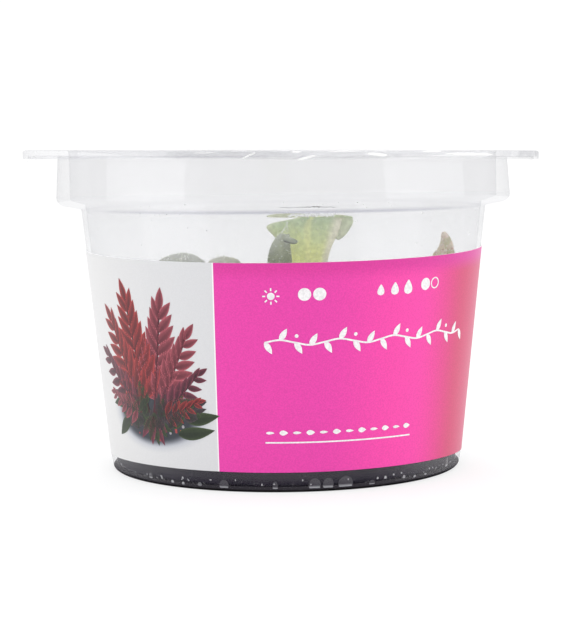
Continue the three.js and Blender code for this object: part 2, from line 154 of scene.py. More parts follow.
# ---- plantlets, as packed ----
CELL_GAP = 0.7
WALL_ROOM = 33.3
ROOT_DEPTH = 6.6
CROWN_R = 2.3
CROWN_RISE = 2.2
ROOT_OUT = 1.2
ROOT_UP = [0.85, 1.3, 1.7]
LEAF_THICK = 0.9
EDGE_THICK = 0.62
STALK_SHARE = 1.5               # a leaf is this much thicker at its stalk
LEAF_WAVE = 0.07
GROOVE = 0.10                   # depth of the furrow over the midrib, and its width as a share
GROOVE_WIDE = 0.16
BLADE_COLUMNS = 8               # of a whorl's leaf, and how many glands it has, between which parts
BLADE_ROWS = 12
BLADE_GLANDS = 12
BLADE_GLAND_SPREAD = (0.35, 0.97)
GLAND_TALL = 0.42
GOLDEN = 137.508

WHORLS = [
    {"count": 6, "length": 15.0, "width": 7.8, "tilt": 25, "arch": 0.6, "spoon": 0.3},
    {"count": 4, "length": 16.0, "width": 6.8, "tilt": 47, "arch": 0.5, "spoon": 0.42},
    {"count": 3, "length": 12.0, "width": 4.6, "tilt": 70, "arch": 0.4, "spoon": 0.6},
]

# Leaves that show above the label, as rows from the stalk to the tip. An upright row has its left
# and right x, its y and z, and how far its middle stands out to the front. A free row gives its two
# ends instead.
FAN = [
    (1.3, 4.5, -15.3, 16.9, 0.3), (0.8, 5.3, -18.2, 24.0, 0.7), (0.6, 6.2, -22.0, 32.0, 0.8),
    (0.4, 7.5, -26.2, 39.3, 0.6), (-0.3, 8.3, -27.9, 42.0, 0.5), (-1.7, 9.2, -29.2, 44.0, 0.4),
    (-2.95, 10.0, -30.2, 45.7, 0.3), (1.1, 10.4, -30.9, 46.75, 0.25), (2.8, 10.6, -31.3, 47.3, 0.2),
]
FAN_RIB = 4.1                   # x of its upright midrib
FAN_ROLL = [
    ((-2.85, -31.9, 47.40), (-2.85, -31.9, 47.30), 0.0), ((-0.8, -31.9, 47.65), (-0.8, -32.0, 47.20), 0.1),
    ((1.7, -31.8, 47.70), (1.7, -31.9, 47.20), 0.12), ((4.7, -31.6, 47.65), (4.7, -31.5, 47.33), 0.05),
    ((7.7, -31.4, 47.55), (7.7, -31.25, 47.23), 0.05), ((10.4, -31.0, 47.35), (10.4, -30.95, 47.05), 0.05),
    ((11.7, -30.5, 47.10), (11.7, -30.5, 46.95), 0.0),
]
FAN_LAPEL = [
    ((8.9, -29.0, 43.50), (9.2, -28.9, 43.45), 0.0), ((9.2, -29.4, 44.10), (10.2, -29.0, 44.05), 0.2),
    ((9.35, -29.8, 44.90), (11.0, -29.3, 44.85), 0.3), ((9.5, -30.2, 45.80), (11.6, -29.7, 45.75), 0.35),
    ((9.7, -30.6, 46.60), (11.85, -30.1, 46.60), 0.3), ((9.8, -30.9, 47.20), (11.6, -30.6, 47.15), 0.1),
]
FINGER = [
    (1.8, 3.6, -15.6, 16.9, 0.5), (0.3, 2.7, -22.5, 24.5, 0.8), (-2.3, 1.2, -29.0, 33.5, 1.2),
    (-2.7, 1.3, -31.7, 39.2, 1.5), (-2.4, 1.1, -32.4, 41.4, 1.5), (-1.8, 0.95, -32.8, 42.9, 1.4),
    (-1.05, 0.95, -33.0, 43.9, 1.1), (-0.35, 0.7, -33.2, 44.5, 0.5),
]
FINGER_BEAK = [
    ((0.45, -33.9, 43.78), (0.35, -34.0, 43.30), 0.3), ((1.05, -34.3, 43.72), (0.95, -34.4, 43.10), 0.35),
    ((1.65, -34.5, 43.50), (1.5, -34.5, 42.98), 0.25), ((2.3, -34.5, 43.16), (2.25, -34.5, 43.06), 0.0),
]
HORN = [
    (19.8, 21.6, -4.2, 16.9, 0.3), (21.4, 24.4, -8.0, 24.0, 0.5), (23.6, 28.0, -12.6, 32.0, 0.6),
    (26.2, 30.2, -16.2, 39.3, 0.7), (27.15, 30.15, -16.7, 40.5, 0.6), (27.8, 29.9, -17.0, 41.8, 0.5),
    (28.0, 29.3, -17.2, 42.9, 0.35), (28.15, 28.4, -17.2, 43.75, 0.0),
]
MOUND = [
    (-15.7, -14.3, -6.2, 16.9, 0.3), (-17.6, -13.8, -11.0, 24.0, 0.6), (-20.6, -13.2, -16.5, 32.0, 1.0),
    (-22.5, -13.4, -19.3, 37.2, 1.2), (-22.4, -13.8, -20.0, 39.1, 1.0), (-21.3, -14.7, -20.2, 39.8, 0.7),
    (-20.0, -15.7, -20.3, 40.25, 0.4), (-18.4, -17.2, -20.3, 40.5, 0.1),
]
SMALL_MOUND = [
    (-13.7, -12.5, -6.0, 16.9, 0.3), (-14.1, -11.1, -8.5, 24.0, 0.5), (-14.2, -9.0, -11.5, 32.0, 0.8),
    (-14.0, -7.5, -13.5, 37.2, 0.9), (-13.6, -7.7, -14.0, 38.7, 0.7), (-12.8, -8.6, -14.1, 39.15, 0.4),
    (-11.4, -10.0, -14.1, 39.5, 0.1),
]
PLANTLETS = [
    {"name": "plantlet_centre", "at": (2.5, -14.0), "first": 62, "size": 0.95},
    {"name": "plantlet_left", "at": (-14.5, -5.0), "first": 100, "size": 1.0},
    {"name": "plantlet_right", "at": (20.0, -3.0), "first": 20, "size": 0.92},
    {"name": "plantlet_back_left", "at": (-11.0, 17.5), "first": 200, "size": 1.0},
    {"name": "plantlet_back_right", "at": (12.0, 17.5), "first": 330, "size": 0.97},
]

# ---- camera ----
CAMERA_BACK = 349.4             # in front of the cup's axis
CAMERA_UP = 57.8
CAMERA_PITCH = 0.0855           # radians down
CAMERA_ROLL = -0.012
CAMERA_ASIDE = 0.08             # mm to the right of the cup's axis
LENS_SHARE = 2.974              # focal length over the picture's height
SENSOR = 36.0

# ---- studio: a lit white table under an even white sky ----
FLOOR_R = 2.4
FLOOR_GLOW = 0.71
HORIZON_LIGHT = 0.97
SKY_LIGHT = 1.4
WHITE_SKY = 1.05


# ---- small tools ----

def wall_radius(z):
    return WALL_TOP_R - WALL_TAPER * (WALL_TOP_Z - z)


def collar_radius(z):
    return COLLAR_R + COLLAR_FLARE * (WALL_TOP_Z - z)


def mix(a, b, t):
    return a + (b - a) * t


def clamped(value, low=0.0, high=1.0):
    return min(high, max(low, value))


def draw(seed):
    """A repeatable draw between -1 and 1 for a numbered thing."""
    value = math.sin(seed * 12.9898 + 4.1414) * 43758.5453
    return 2 * (value - math.floor(value)) - 1


def arc(r, z, radius, start, end, steps):
    """Points of a round corner of a profile, between two angles in degrees."""
    points = []
    for i in range(steps + 1):
        angle = math.radians(mix(start, end, i / steps))
        points.append((r + radius * math.cos(angle), z + radius * math.sin(angle)))
    return points


def activate(piece):
    bpy.ops.object.select_all(action="DESELECT")
    piece.select_set(True)
    bpy.context.view_layer.objects.active = piece


def named(name):
    """The object that an operator has just made, under its own name."""
    piece = bpy.context.object
    piece.name = name
    piece.data.name = name
    return piece


def primitive(name, operator, **settings):
    """A fresh body from one of Blender's own shapes."""
    bpy.ops.object.select_all(action="DESELECT")
    operator(**settings)
    return named(name)


def edit_all(piece, operator, **settings):
    """Runs one mesh operator on the whole of a piece."""
    activate(piece)
    bpy.ops.object.mode_set(mode="EDIT")
    bpy.ops.mesh.select_all(action="SELECT")
    operator(**settings)
    bpy.ops.object.mode_set(mode="OBJECT")


def apply_modifier(piece, kind, **settings):
    activate(piece)
    modifier = piece.modifiers.new(kind.lower(), kind)
    for key, value in settings.items():
        setattr(modifier, key, value)
    bpy.ops.object.modifier_apply(modifier=modifier.name)


def wear(piece, *materials):
    for material in materials:
        piece.data.materials.append(material)


def turned(name, profile, steps):
    """A body of revolution about +Z: a profile drawn point by point in millimetres, then spun."""
    piece = primitive(name, bpy.ops.mesh.primitive_plane_add, size=MM)
    edit_all(piece, bpy.ops.mesh.merge, type="CENTER")
    bpy.ops.object.mode_set(mode="EDIT")
    bpy.ops.transform.translate(value=(profile[0][0] * MM, 0, profile[0][1] * MM))
    for (r, z), (next_r, next_z) in zip(profile, profile[1:]):
        step = ((next_r - r) * MM, 0, (next_z - z) * MM)
        bpy.ops.mesh.extrude_region_move(TRANSFORM_OT_translate={"value": step})
    bpy.ops.object.mode_set(mode="OBJECT")
    edit_all(piece, bpy.ops.mesh.spin, steps=steps, angle=2 * math.pi, center=(0, 0, 0), axis=(0, 0, 1))
    edit_all(piece, bpy.ops.mesh.remove_doubles, threshold=0.004 * MM)
    edit_all(piece, bpy.ops.mesh.normals_make_consistent, inside=False)
    return piece


def grid(name, columns, rows, point):
    """A sheet whose places come from point(u, t): u is -1 to 1 across, t is 0 to 1 along, in mm."""
    piece = primitive(name, bpy.ops.mesh.primitive_grid_add, size=2, x_subdivisions=columns,
                      y_subdivisions=rows)
    for vertex in piece.data.vertices:
        vertex.co = Vector(point(vertex.co.x, (vertex.co.y + 1) / 2)) * MM
    return piece


def join(name, pieces):
    activate(pieces[0])
    for piece in pieces:
        piece.select_set(True)
    bpy.ops.object.join()
    return named(name)


def copied(piece):
    copy = piece.copy()
    copy.data = piece.data.copy()
    bpy.context.scene.collection.objects.link(copy)
    return copy


def beads(name, body, spots, point, prepare=None):
    """Copies of a small body in one piece: point(i, spot, x, y, z) gives a vertex its place, in mm."""
    copies = []
    for i, spot in enumerate(spots):
        copy = copied(body)
        if prepare is not None:
            prepare(copy, spot)
        for vertex in copy.data.vertices:
            vertex.co = Vector(point(i, spot, *vertex.co)) * MM
        copies.append(copy)
    bpy.data.objects.remove(body)
    return join(name, copies)


def ball(segments, rings):
    return primitive("ball", bpy.ops.mesh.primitive_uv_sphere_add, radius=1.0, segments=segments,
                     ring_count=rings)


def around(angle, r, z):
    """The place at an angle from the front towards +X, in radians, at a radius and height."""
    return Vector((r * math.sin(angle), -r * math.cos(angle), z))


def on_wall(turn, z, lift=0.0):
    """A point on the tapered wall: turn in degrees from the front towards +X, z and lift in mm."""
    return around(math.radians(turn), wall_radius(z) + lift, z)


def on_label(turn, z, lift):
    """The same on the label, which is a little taller towards its ends."""
    away = 1 - math.cos(math.radians(turn))
    up = (z - LABEL_LOW) / (LABEL_HIGH - LABEL_LOW)
    return on_wall(turn, z + LABEL_TOP_RISE * away * up - LABEL_LOW_DIP * away * away * (1 - up), lift)


def finish_piece(piece, node=None, smooth=None):
    """Smooths a piece below an angle, attaches it to its body and hides the part that it replaces."""
    if smooth is not None:
        activate(piece)
        bpy.ops.object.shade_smooth_by_angle(angle=math.radians(smooth))
    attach(piece, "root")
    if node is not None:
        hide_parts(node)


# ---- materials ----

class Nodes:
    """Short calls that build the nodes of one material, or of the world."""

    def __init__(self, owner):
        owner.use_nodes = True
        self.owner = owner
        self.tree = owner.node_tree
        self.tree.nodes.clear()

    def add(self, kind, *values, **settings):
        """A node: its sockets take the values in turn, or by name; other settings are its own."""
        node = self.tree.nodes.new("ShaderNode" + kind)
        for key, value in settings.items():
            name = key.replace("_", " ")
            if name in node.inputs:
                self.feed(node.inputs[name], value)
            else:
                setattr(node, key, value)
        for socket, value in zip(node.inputs, values):
            self.feed(socket, value)
        return node

    def feed(self, socket, value):
        if isinstance(value, bpy.types.NodeSocket):
            self.tree.links.new(value, socket)
        elif value is not None:
            socket.default_value = (*value, 1) if socket.type == "RGBA" else value

    def maths(self, operation, result, *values):
        """Takes in the values one after another."""
        for value in values or (0.0,):
            result = self.add("Math", result, value, operation=operation).outputs[0]
        return result

    def product(self, *values):
        return self.maths("MULTIPLY", *values)

    def total(self, *values):
        return self.maths("ADD", *values)

    def less(self, value, amount):
        return self.maths("SUBTRACT", value, amount)

    def absolute(self, value):
        return self.maths("ABSOLUTE", value)

    def radius(self, x, y):
        return self.maths("SQRT", self.total(self.product(x, x), self.product(y, y)))

    def span(self, value, low, high, to_low=0.0, to_high=1.0):
        """value from low..high laid smoothly onto to_low..to_high."""
        node = self.add("MapRange", value, low, high, to_low, to_high, interpolation_type="SMOOTHSTEP")
        return node.outputs[0]

    def span_mm(self, length, low, high, to_low=0.0, to_high=1.0):
        return self.span(length, low * MM, high * MM, to_low, to_high)

    def zone(self, length, low, high, soft):
        """1 where a length lies between low and high, in mm, with soft borders."""
        rise = self.span_mm(length, low - soft, low)
        return self.product(rise, self.span_mm(length, high, high + soft, 1.0, 0.0))

    def blend(self, factor, first, second):
        node = self.add("Mix", factor, data_type="RGBA")
        self.feed(node.inputs[6], first)
        self.feed(node.inputs[7], second)
        return node.outputs[2]

    def layered(self, colour, *layers):
        """Lays more colours over the first, each by its own share."""
        for share, over in layers:
            colour = self.blend(share, colour, over)
        return colour

    def scaled(self, colour, share):
        return self.add("VectorMath", colour, operation="SCALE", Scale=share).outputs[0]

    def mixed(self, factor, first, second):
        return self.add("MixShader", factor, first, second).outputs[0]

    def noise(self, vector, scale, detail=3.0, roughness=0.55):
        node = self.add("TexNoise", Vector=vector, Scale=scale, Detail=detail, Roughness=roughness)
        return node.outputs["Fac"]

    def clouded(self, scale, low, high, detail=3.0):
        """A colour that drifts from low to high in soft clouds."""
        return self.blend(self.noise(self.place(), scale, detail), low, high)

    def bump(self, height, strength, distance):
        return self.add("Bump", Strength=strength, Distance=distance, Height=height).outputs[0]

    def place(self):
        return self.add("TexCoord").outputs["Object"]

    def parts(self, vector):
        return self.add("SeparateXYZ", vector).outputs

    def uv(self):
        return self.parts(self.add("UVMap").outputs[0])

    def bsdf(self, kind, colour, **settings):
        return self.add("Bsdf" + kind, Color=colour, **settings).outputs[0]

    def surface(self, colour, roughness, **settings):
        node = self.add("BsdfPrincipled", Base_Color=colour, Roughness=roughness, **settings)
        return node.outputs[0]

    def out(self, shader):
        self.add("OutputMaterial", Surface=shader)
        return self.owner


def painted(name):
    return Nodes(bpy.data.materials.new(name))


def clear_shader(nodes, tint, haze, haze_colour, gloss_rough, normal=None, at_front=0.04, aslant=0.40,
                 gloss_scale=1.0):
    """Clear plastic: see-through with a tint, some milky haze, and a mirror gloss that grows aslant."""
    milk = nodes.mixed(0.5, nodes.bsdf("Diffuse", haze_colour), nodes.bsdf("Translucent", haze_colour))
    body = nodes.mixed(haze, nodes.bsdf("Transparent", tint), milk)
    gloss = nodes.bsdf("Glossy", (0.81, 0.81, 0.815), Roughness=gloss_rough, Normal=normal)
    facing = nodes.add("LayerWeight", Blend=0.5).outputs["Facing"]
    share = nodes.product(nodes.maths("POWER", facing, 5.0), aslant - at_front)
    return nodes.mixed(nodes.product(nodes.total(share, at_front), gloss_scale), body, gloss)


def clear_plastic(name, mirror):
    """The cup's clear plastic: light fog above the gel, marked by the seal on top, with painted light and
    shade: dark at the foot's bottom edge, side strips on the collar, a dark step line, a darker lip
    front and brighter sides of the foot.
    """
    nodes = painted(name)
    place = nodes.place()
    x, y, height = nodes.parts(place)
    radius = nodes.radius(x, y)
    # Painted shading: strips at the left and right sides of the collar, darker on the outer face and lighter
    # on the inner faces.
    painted_side_shading = nodes.product(nodes.zone(nodes.absolute(y), 4.0, 11.0, 3.0), nodes.span_mm(height, 42, 45))
    tint = nodes.layered(
        (0.946, 0.946, 0.950),
        # Painted shade: near black at the foot's bottom edge.
        (nodes.span_mm(height, 0.42, 0.64, 1.0, 0.0), (0.050, 0.045, 0.055)),
        (painted_side_shading, (0.930, 0.930, 0.935) if mirror > 1 else (0.958, 0.958, 0.962)),
        (painted_step_line(nodes, y, height, radius), (0.79, 0.79, 0.82)),
        *rim_layers(nodes, place, x, y, height, radius))
    fog = nodes.span_mm(height, 14, 30, 0.004, 0.07)
    above = nodes.span_mm(height, 46.5, 48.5, 1.0, 0.35)
    haze = nodes.product(fog, above, nodes.span(nodes.noise(place, 60.0), 0.3, 0.7, 0.7, 1.3))
    # Painted light: milky haze brightens the foot at its left and right sides, more on the right.
    aside = nodes.total(nodes.span_mm(nodes.absolute(x), 12, 32, 0.0, 0.115),
                        nodes.span_mm(x, 16, 28, 0.0, 0.05))
    foot = nodes.product(aside, nodes.zone(height, 0.9, 5.0, 0.3))
    haze = nodes.total(haze, foot, misted_patch(nodes, place))
    ripple = nodes.bump(nodes.noise(place, 30.0, 1.0), 0.05, 0.4 * MM)
    gloss = nodes.product(nodes.span_mm(height, 0.9, 3.2, 0.06, 1.0), mirror)
    return nodes.out(clear_shader(nodes, tint, haze, (0.90, 0.90, 0.91), 0.015, ripple, gloss_scale=gloss))


def painted_step_line(nodes, y, height, radius):
    """Painted shade: a dark line along the front of the step, where the plastic is seen edge on."""
    away = nodes.absolute(nodes.less(height, SHOULDER_Z * MM))
    near = nodes.span_mm(y, -37.5, -14, 1.0, 0.1)
    inner = wall_radius(SHOULDER_Z)
    inside = nodes.span_mm(radius, inner + 0.5, inner + 1.2, 1.0, 0.0)
    return nodes.product(nodes.span_mm(away, 0.18, 0.48, 1.0, 0.0), near, inside)


def rim_layers(nodes, place, x, y, height, radius):
    """Tints for the flange: clearer and lightly marked by the seal, with painted shade: a darker
    stretch on the lip at the front and dark blots at the flange's right end.
    """
    ring = nodes.span_mm(radius, 42.8, 43.8)
    flange = nodes.product(nodes.span_mm(height, FLANGE_TOP - 1.9, FLANGE_TOP - 1.2), ring)
    below = nodes.span_mm(height, FLANGE_TOP - 1.15, FLANGE_TOP - 0.85, 1.0, 0.0)
    marks = nodes.span(nodes.noise(place, 200.0, 2.0), 0.55, 0.68)
    # Painted shade: a darker stretch on the lip at the front.
    lip = nodes.product(nodes.span_mm(radius, 46.6, 46.9), nodes.span_mm(y, -36, -30, 1.0, 0.0),
                        nodes.less(1.0, below), nodes.zone(x, -13.5, -4.0, 11.0))
    # Painted shade: dark blots on the flange at its right end.
    painted_shade_blots = nodes.span(nodes.noise(place, 330.0, 2.0), 0.38, 0.62, 0.55, 1.0)
    return [
        (flange, (0.970, 0.970, 0.976)),
        (nodes.product(below, ring), (0.988, 0.988, 0.989)),
        (nodes.product(flange, marks, 0.7), (0.91, 0.91, 0.925)),
        (lip, (0.845, 0.845, 0.857)),
        (nodes.product(flange, nodes.span_mm(x, 40.6, 41.4), painted_shade_blots), (0.80, 0.80, 0.815)),
    ]


def misted_patch(nodes, place):
    """Breath-like mist inside the wall over the left rosette's leaf tips."""
    middle = on_wall(MIST_TURN, MIST_HEIGHT) * MM
    away = nodes.add("VectorMath", place, middle, operation="DISTANCE").outputs["Value"]
    return nodes.span_mm(away, MIST_NEAR, MIST_REACH, MIST, 0.0)


def wetted_plastic():
    """The cup's inner face where the gel lies against it: no gloss of its own."""
    nodes = painted("plastic_against_gel")
    tint = nodes.clouded(200.0, (0.95, 0.95, 0.955), (0.985, 0.985, 0.99))
    return nodes.out(nodes.bsdf("Transparent", tint))


def film_plastic():
    nodes = painted("clear_sealing_film")
    place = nodes.place()
    normal = nodes.bump(nodes.noise(place, 90.0, 4.0, 0.6), 0.16, 0.5 * MM)
    x, y, _ = nodes.parts(place)
    pressed = nodes.span_mm(nodes.radius(x, y), 46.2, 46.6)
    tint = nodes.blend(pressed, (0.990, 0.990, 0.992), (0.955, 0.955, 0.960))
    return nodes.out(clear_shader(nodes, tint, 0.008, (0.9, 0.9, 0.91), 0.07, normal, aslant=0.18))


def wet_gel():
    nodes = painted("dark_wet_gel")
    place = nodes.place()
    cloud = nodes.span(nodes.noise(place, 140.0, 4.0), 0.3, 0.75)
    colour = nodes.blend(cloud, (0.022, 0.019, 0.026), (0.042, 0.037, 0.048))
    normal = nodes.bump(nodes.noise(place, 260.0, 2.0), 0.3, 0.3 * MM)
    return nodes.out(nodes.surface(colour, 0.22, Coat_Weight=0.3, Normal=normal))


def gel_side():
    """The gel where it lies against the wall: the same dark jelly, with no wet gloss, and a painted
    highlight: a pale grainy line low down, strongest at the sides.
    """
    nodes = painted("dark_gel_side")
    place = nodes.place()
    x, _, height = nodes.parts(place)
    cloud = nodes.span(nodes.noise(place, 140.0, 4.0), 0.3, 0.75)
    speck = nodes.span(nodes.noise(place, 1500.0, 2.0), 0.64, 0.72)
    grain = nodes.span(nodes.noise(place, 1300.0, 1.0), 0.655, 0.685)
    aside = nodes.span_mm(nodes.absolute(x), 10, 19, 0.1, 1.0)
    colour = nodes.layered(
        (0.019, 0.016, 0.027),
        (cloud, (0.027, 0.022, 0.036)),
        (nodes.product(speck, 0.4), (0.12, 0.11, 0.13)),
        # Painted highlight: a pale grainy line low down, strongest at the sides.
        (nodes.product(grain, aside, nodes.zone(height, 0.9, 1.5, 0.3)), (0.6, 0.6, 0.62)))
    return nodes.out(nodes.bsdf("Diffuse", colour))


def gel_bubble():
    nodes = painted("pale_gel_bubble")
    colour = nodes.clouded(900.0, (0.026, 0.023, 0.033), (0.050, 0.046, 0.061), 2.0)
    rim = nodes.add("Attribute", attribute_name="rim").outputs["Fac"]
    # Painted highlight: pale where 'rim' marks a bubble's foot, or all of a small bubble.
    return nodes.out(nodes.surface(nodes.blend(rim, colour, (0.60, 0.60, 0.63)), 0.35))


# Flecks on the horn leaf: scale of the noise, where they begin and where they are full, and colour.
FLECKS = [
    (900.0, 0.50, 0.60, (0.86, 0.60, 0.58)), (650.0, 0.54, 0.64, (0.52, 0.54, 0.30)),
    (1250.0, 0.55, 0.63, (0.56, 0.34, 0.28)), (1500.0, 0.58, 0.64, (0.92, 0.88, 0.82)),
]


def leaf_material(name, low, high, rib, margin, glow=0.45, rib_wide=0.05, veins=0.18, fleck=None, skirt=None):
    """A fleshy leaf: colour from stalk to tip, a pale midrib, veins, mottling and a thin glow."""
    nodes = painted(name)
    place = nodes.place()
    across, along, _ = nodes.uv()
    centred = nodes.absolute(nodes.less(across, 0.5))
    cloud = nodes.noise(place, 420.0, 5.0, 0.6)
    reach = nodes.total(along, nodes.product(nodes.less(cloud, 0.5), 0.5))
    sweep = nodes.total(nodes.product(along, 16.0), nodes.product(centred, -22.0))
    vein = nodes.span(nodes.maths("SINE", nodes.product(sweep, 6.283)), 0.82, 1.0)
    colour = nodes.layered(
        low,
        (nodes.span(reach, 0.35, 0.95), high),
        (nodes.product(nodes.span(centred, 0.40, 0.5), 0.55), margin),
        (nodes.product(nodes.span(centred, 0.25 * rib_wide, rib_wide, 1.0, 0.0), 0.65), rib),
        (nodes.product(vein, veins), rib))
    if skirt is not None:
        start, full, side_colour = skirt
        colour = nodes.blend(nodes.span(across, start, full), colour, side_colour)
    for scale, start, full, spot in FLECKS if fleck is not None else []:
        speck = nodes.span(nodes.noise(place, scale, 2.0), start, full)
        colour = nodes.blend(nodes.product(speck, fleck), colour, spot)
    colour = nodes.scaled(colour, nodes.span(nodes.noise(place, 1300.0, 3.0), 0.35, 0.7, 0.86, 1.08))
    height = nodes.less(nodes.noise(place, 2600.0, 2.0), nodes.product(vein, 0.35))
    normal = nodes.bump(height, 0.35, 0.12 * MM)
    skin = nodes.surface(colour, 0.34, Normal=normal, Coat_Weight=0.25, Coat_Roughness=0.2)
    return nodes.out(nodes.mixed(glow, skin, nodes.bsdf("Translucent", colour)))


def crown_material():
    nodes = painted("pale_crown")
    return nodes.out(nodes.surface(nodes.clouded(700.0, (0.30, 0.36, 0.12), (0.46, 0.47, 0.22)), 0.45))


def gland_material():
    """Sticky heads and stalks: pale, glassy and a little green."""
    nodes = painted("sticky_gland")
    colour = nodes.clouded(2000.0, (0.78, 0.82, 0.66), (0.90, 0.92, 0.84), 1.0)
    return nodes.out(nodes.mixed(0.5, nodes.surface(colour, 0.12), nodes.bsdf("Translucent", colour)))


def dew_material():
    """Condensed droplets, half see-through, their milky white a painted highlight for where they catch the
    light.
    """
    nodes = painted("condensed_dew")
    milk = nodes.span(nodes.noise(nodes.place(), 1500.0, 1.0), 0.35, 0.65, 0.55, 0.95)
    return nodes.out(clear_shader(nodes, (0.98, 0.98, 0.98), milk, (0.99, 0.99, 0.99), 0.04, at_front=0.06))


def lip_glint_material():
    """Painted highlight: soft white for the glints on the lip."""
    nodes = painted("white_painted_lip_glint")
    milk = nodes.span(nodes.noise(nodes.place(), 150.0, 1.0), 0.3, 0.7, 0.75, 0.95)
    return nodes.out(clear_shader(nodes, (0.99, 0.99, 0.985), milk, (0.99, 0.99, 0.98), 0.2))


def wet_shadow():
    """Painted shade: beads tinted grey for the dark of the leaf below them."""
    nodes = painted("painted_shade_wet_bead")
    tint = nodes.clouded(1500.0, (0.50, 0.51, 0.50), (0.72, 0.73, 0.72), 1.0)
    return nodes.out(clear_shader(nodes, tint, 0.08, (0.35, 0.36, 0.34), 0.05))


def label_print():
    """Half-gloss print: a pale panel, a thin white line and a pink panel, on the label's own map, with
    painted highlight and shade on the panels.
    """
    nodes = painted("printed_label")
    across, up, _ = nodes.uv()
    turn = nodes.product(nodes.less(across, 0.5), 2 * LABEL_HALF_TURN)
    lean = nodes.product(nodes.less(up, 0.5), DIVIDER_LEAN)
    past = nodes.less(turn, nodes.total(lean, DIVIDER_TURN))
    pink_side = nodes.span(past, 0.0, 0.12)
    shadow = sprig_shade(nodes, turn, up)
    pale = nodes.layered(
        (0.635, 0.63, 0.63),
        # Painted shade: the pale panel darkens towards the divider.
        (nodes.span(turn, -70, -25), (0.60, 0.60, 0.612)),
        (nodes.product(shadow, 0.85), (0.22, 0.25, 0.34)),
        (nodes.span(shadow, 0.35, 0.9), (0.030, 0.034, 0.045)))
    pink = nodes.layered(
        (0.70, 0.043, 0.343),
        # Painted highlight: a brighter band of pink from 8 to 36 degrees.
        (nodes.span(turn, 8, 36), (0.80, 0.052, 0.345)),
        # Towards the end, darker and more coral: partly a shift of the print to coral, partly painted shade.
        (nodes.span(turn, 40, 64), (0.565, 0.044, 0.138)),
        # Painted shade: darker along the top edge, under the collar.
        (nodes.span(up, 0.90, 0.985), (0.62, 0.034, 0.29)))
    line = nodes.span(nodes.absolute(nodes.less(past, -0.12)), 0.10, 0.22, 1.0, 0.0)
    colour = nodes.layered(pale, (pink_side, pink), (nodes.product(line, 0.75), (0.9, 0.9, 0.9)))
    grain = nodes.noise(nodes.place(), 4200.0, 1.0)
    dots = nodes.scaled(colour, nodes.span(grain, 0.3, 0.7, 0.93, 1.07))
    colour = nodes.blend(nodes.maths("MAXIMUM", pink_side, 0.25), colour, dots)
    normal = nodes.bump(grain, 0.06, 0.05 * MM)
    return nodes.out(nodes.surface(colour, 0.36, Specular_IOR_Level=0.35, Normal=normal))


def sprig_shade(nodes, turn, up):
    """The soft slate shade printed under the sprig's foot: an oval that fades outwards."""
    sideways = nodes.maths("DIVIDE", nodes.less(turn, SPRIG_TURN), 22.5)
    upwards = nodes.maths("DIVIDE", nodes.less(up, 0.25), 0.19)
    square = nodes.total(nodes.product(sideways, sideways), nodes.product(upwards, upwards))
    return nodes.span(square, 0.20, 1.0, 1.0, 0.0)


def white_back():
    nodes = painted("white_label_back")
    return nodes.out(nodes.surface(nodes.clouded(300.0, (0.80, 0.80, 0.81), (0.86, 0.86, 0.87)), 0.6))


def ink_material(name):
    """Printed ink: each motif carries its colour in the attribute 'ink'."""
    nodes = painted(name)
    ink = nodes.add("Attribute", attribute_name="ink").outputs["Color"]
    speckle = nodes.span(nodes.noise(nodes.place(), 2400.0, 2.0), 0.3, 0.7, 0.88, 1.06)
    return nodes.out(nodes.surface(nodes.scaled(ink, speckle), 0.36, Specular_IOR_Level=0.35))


# ---- cup ----

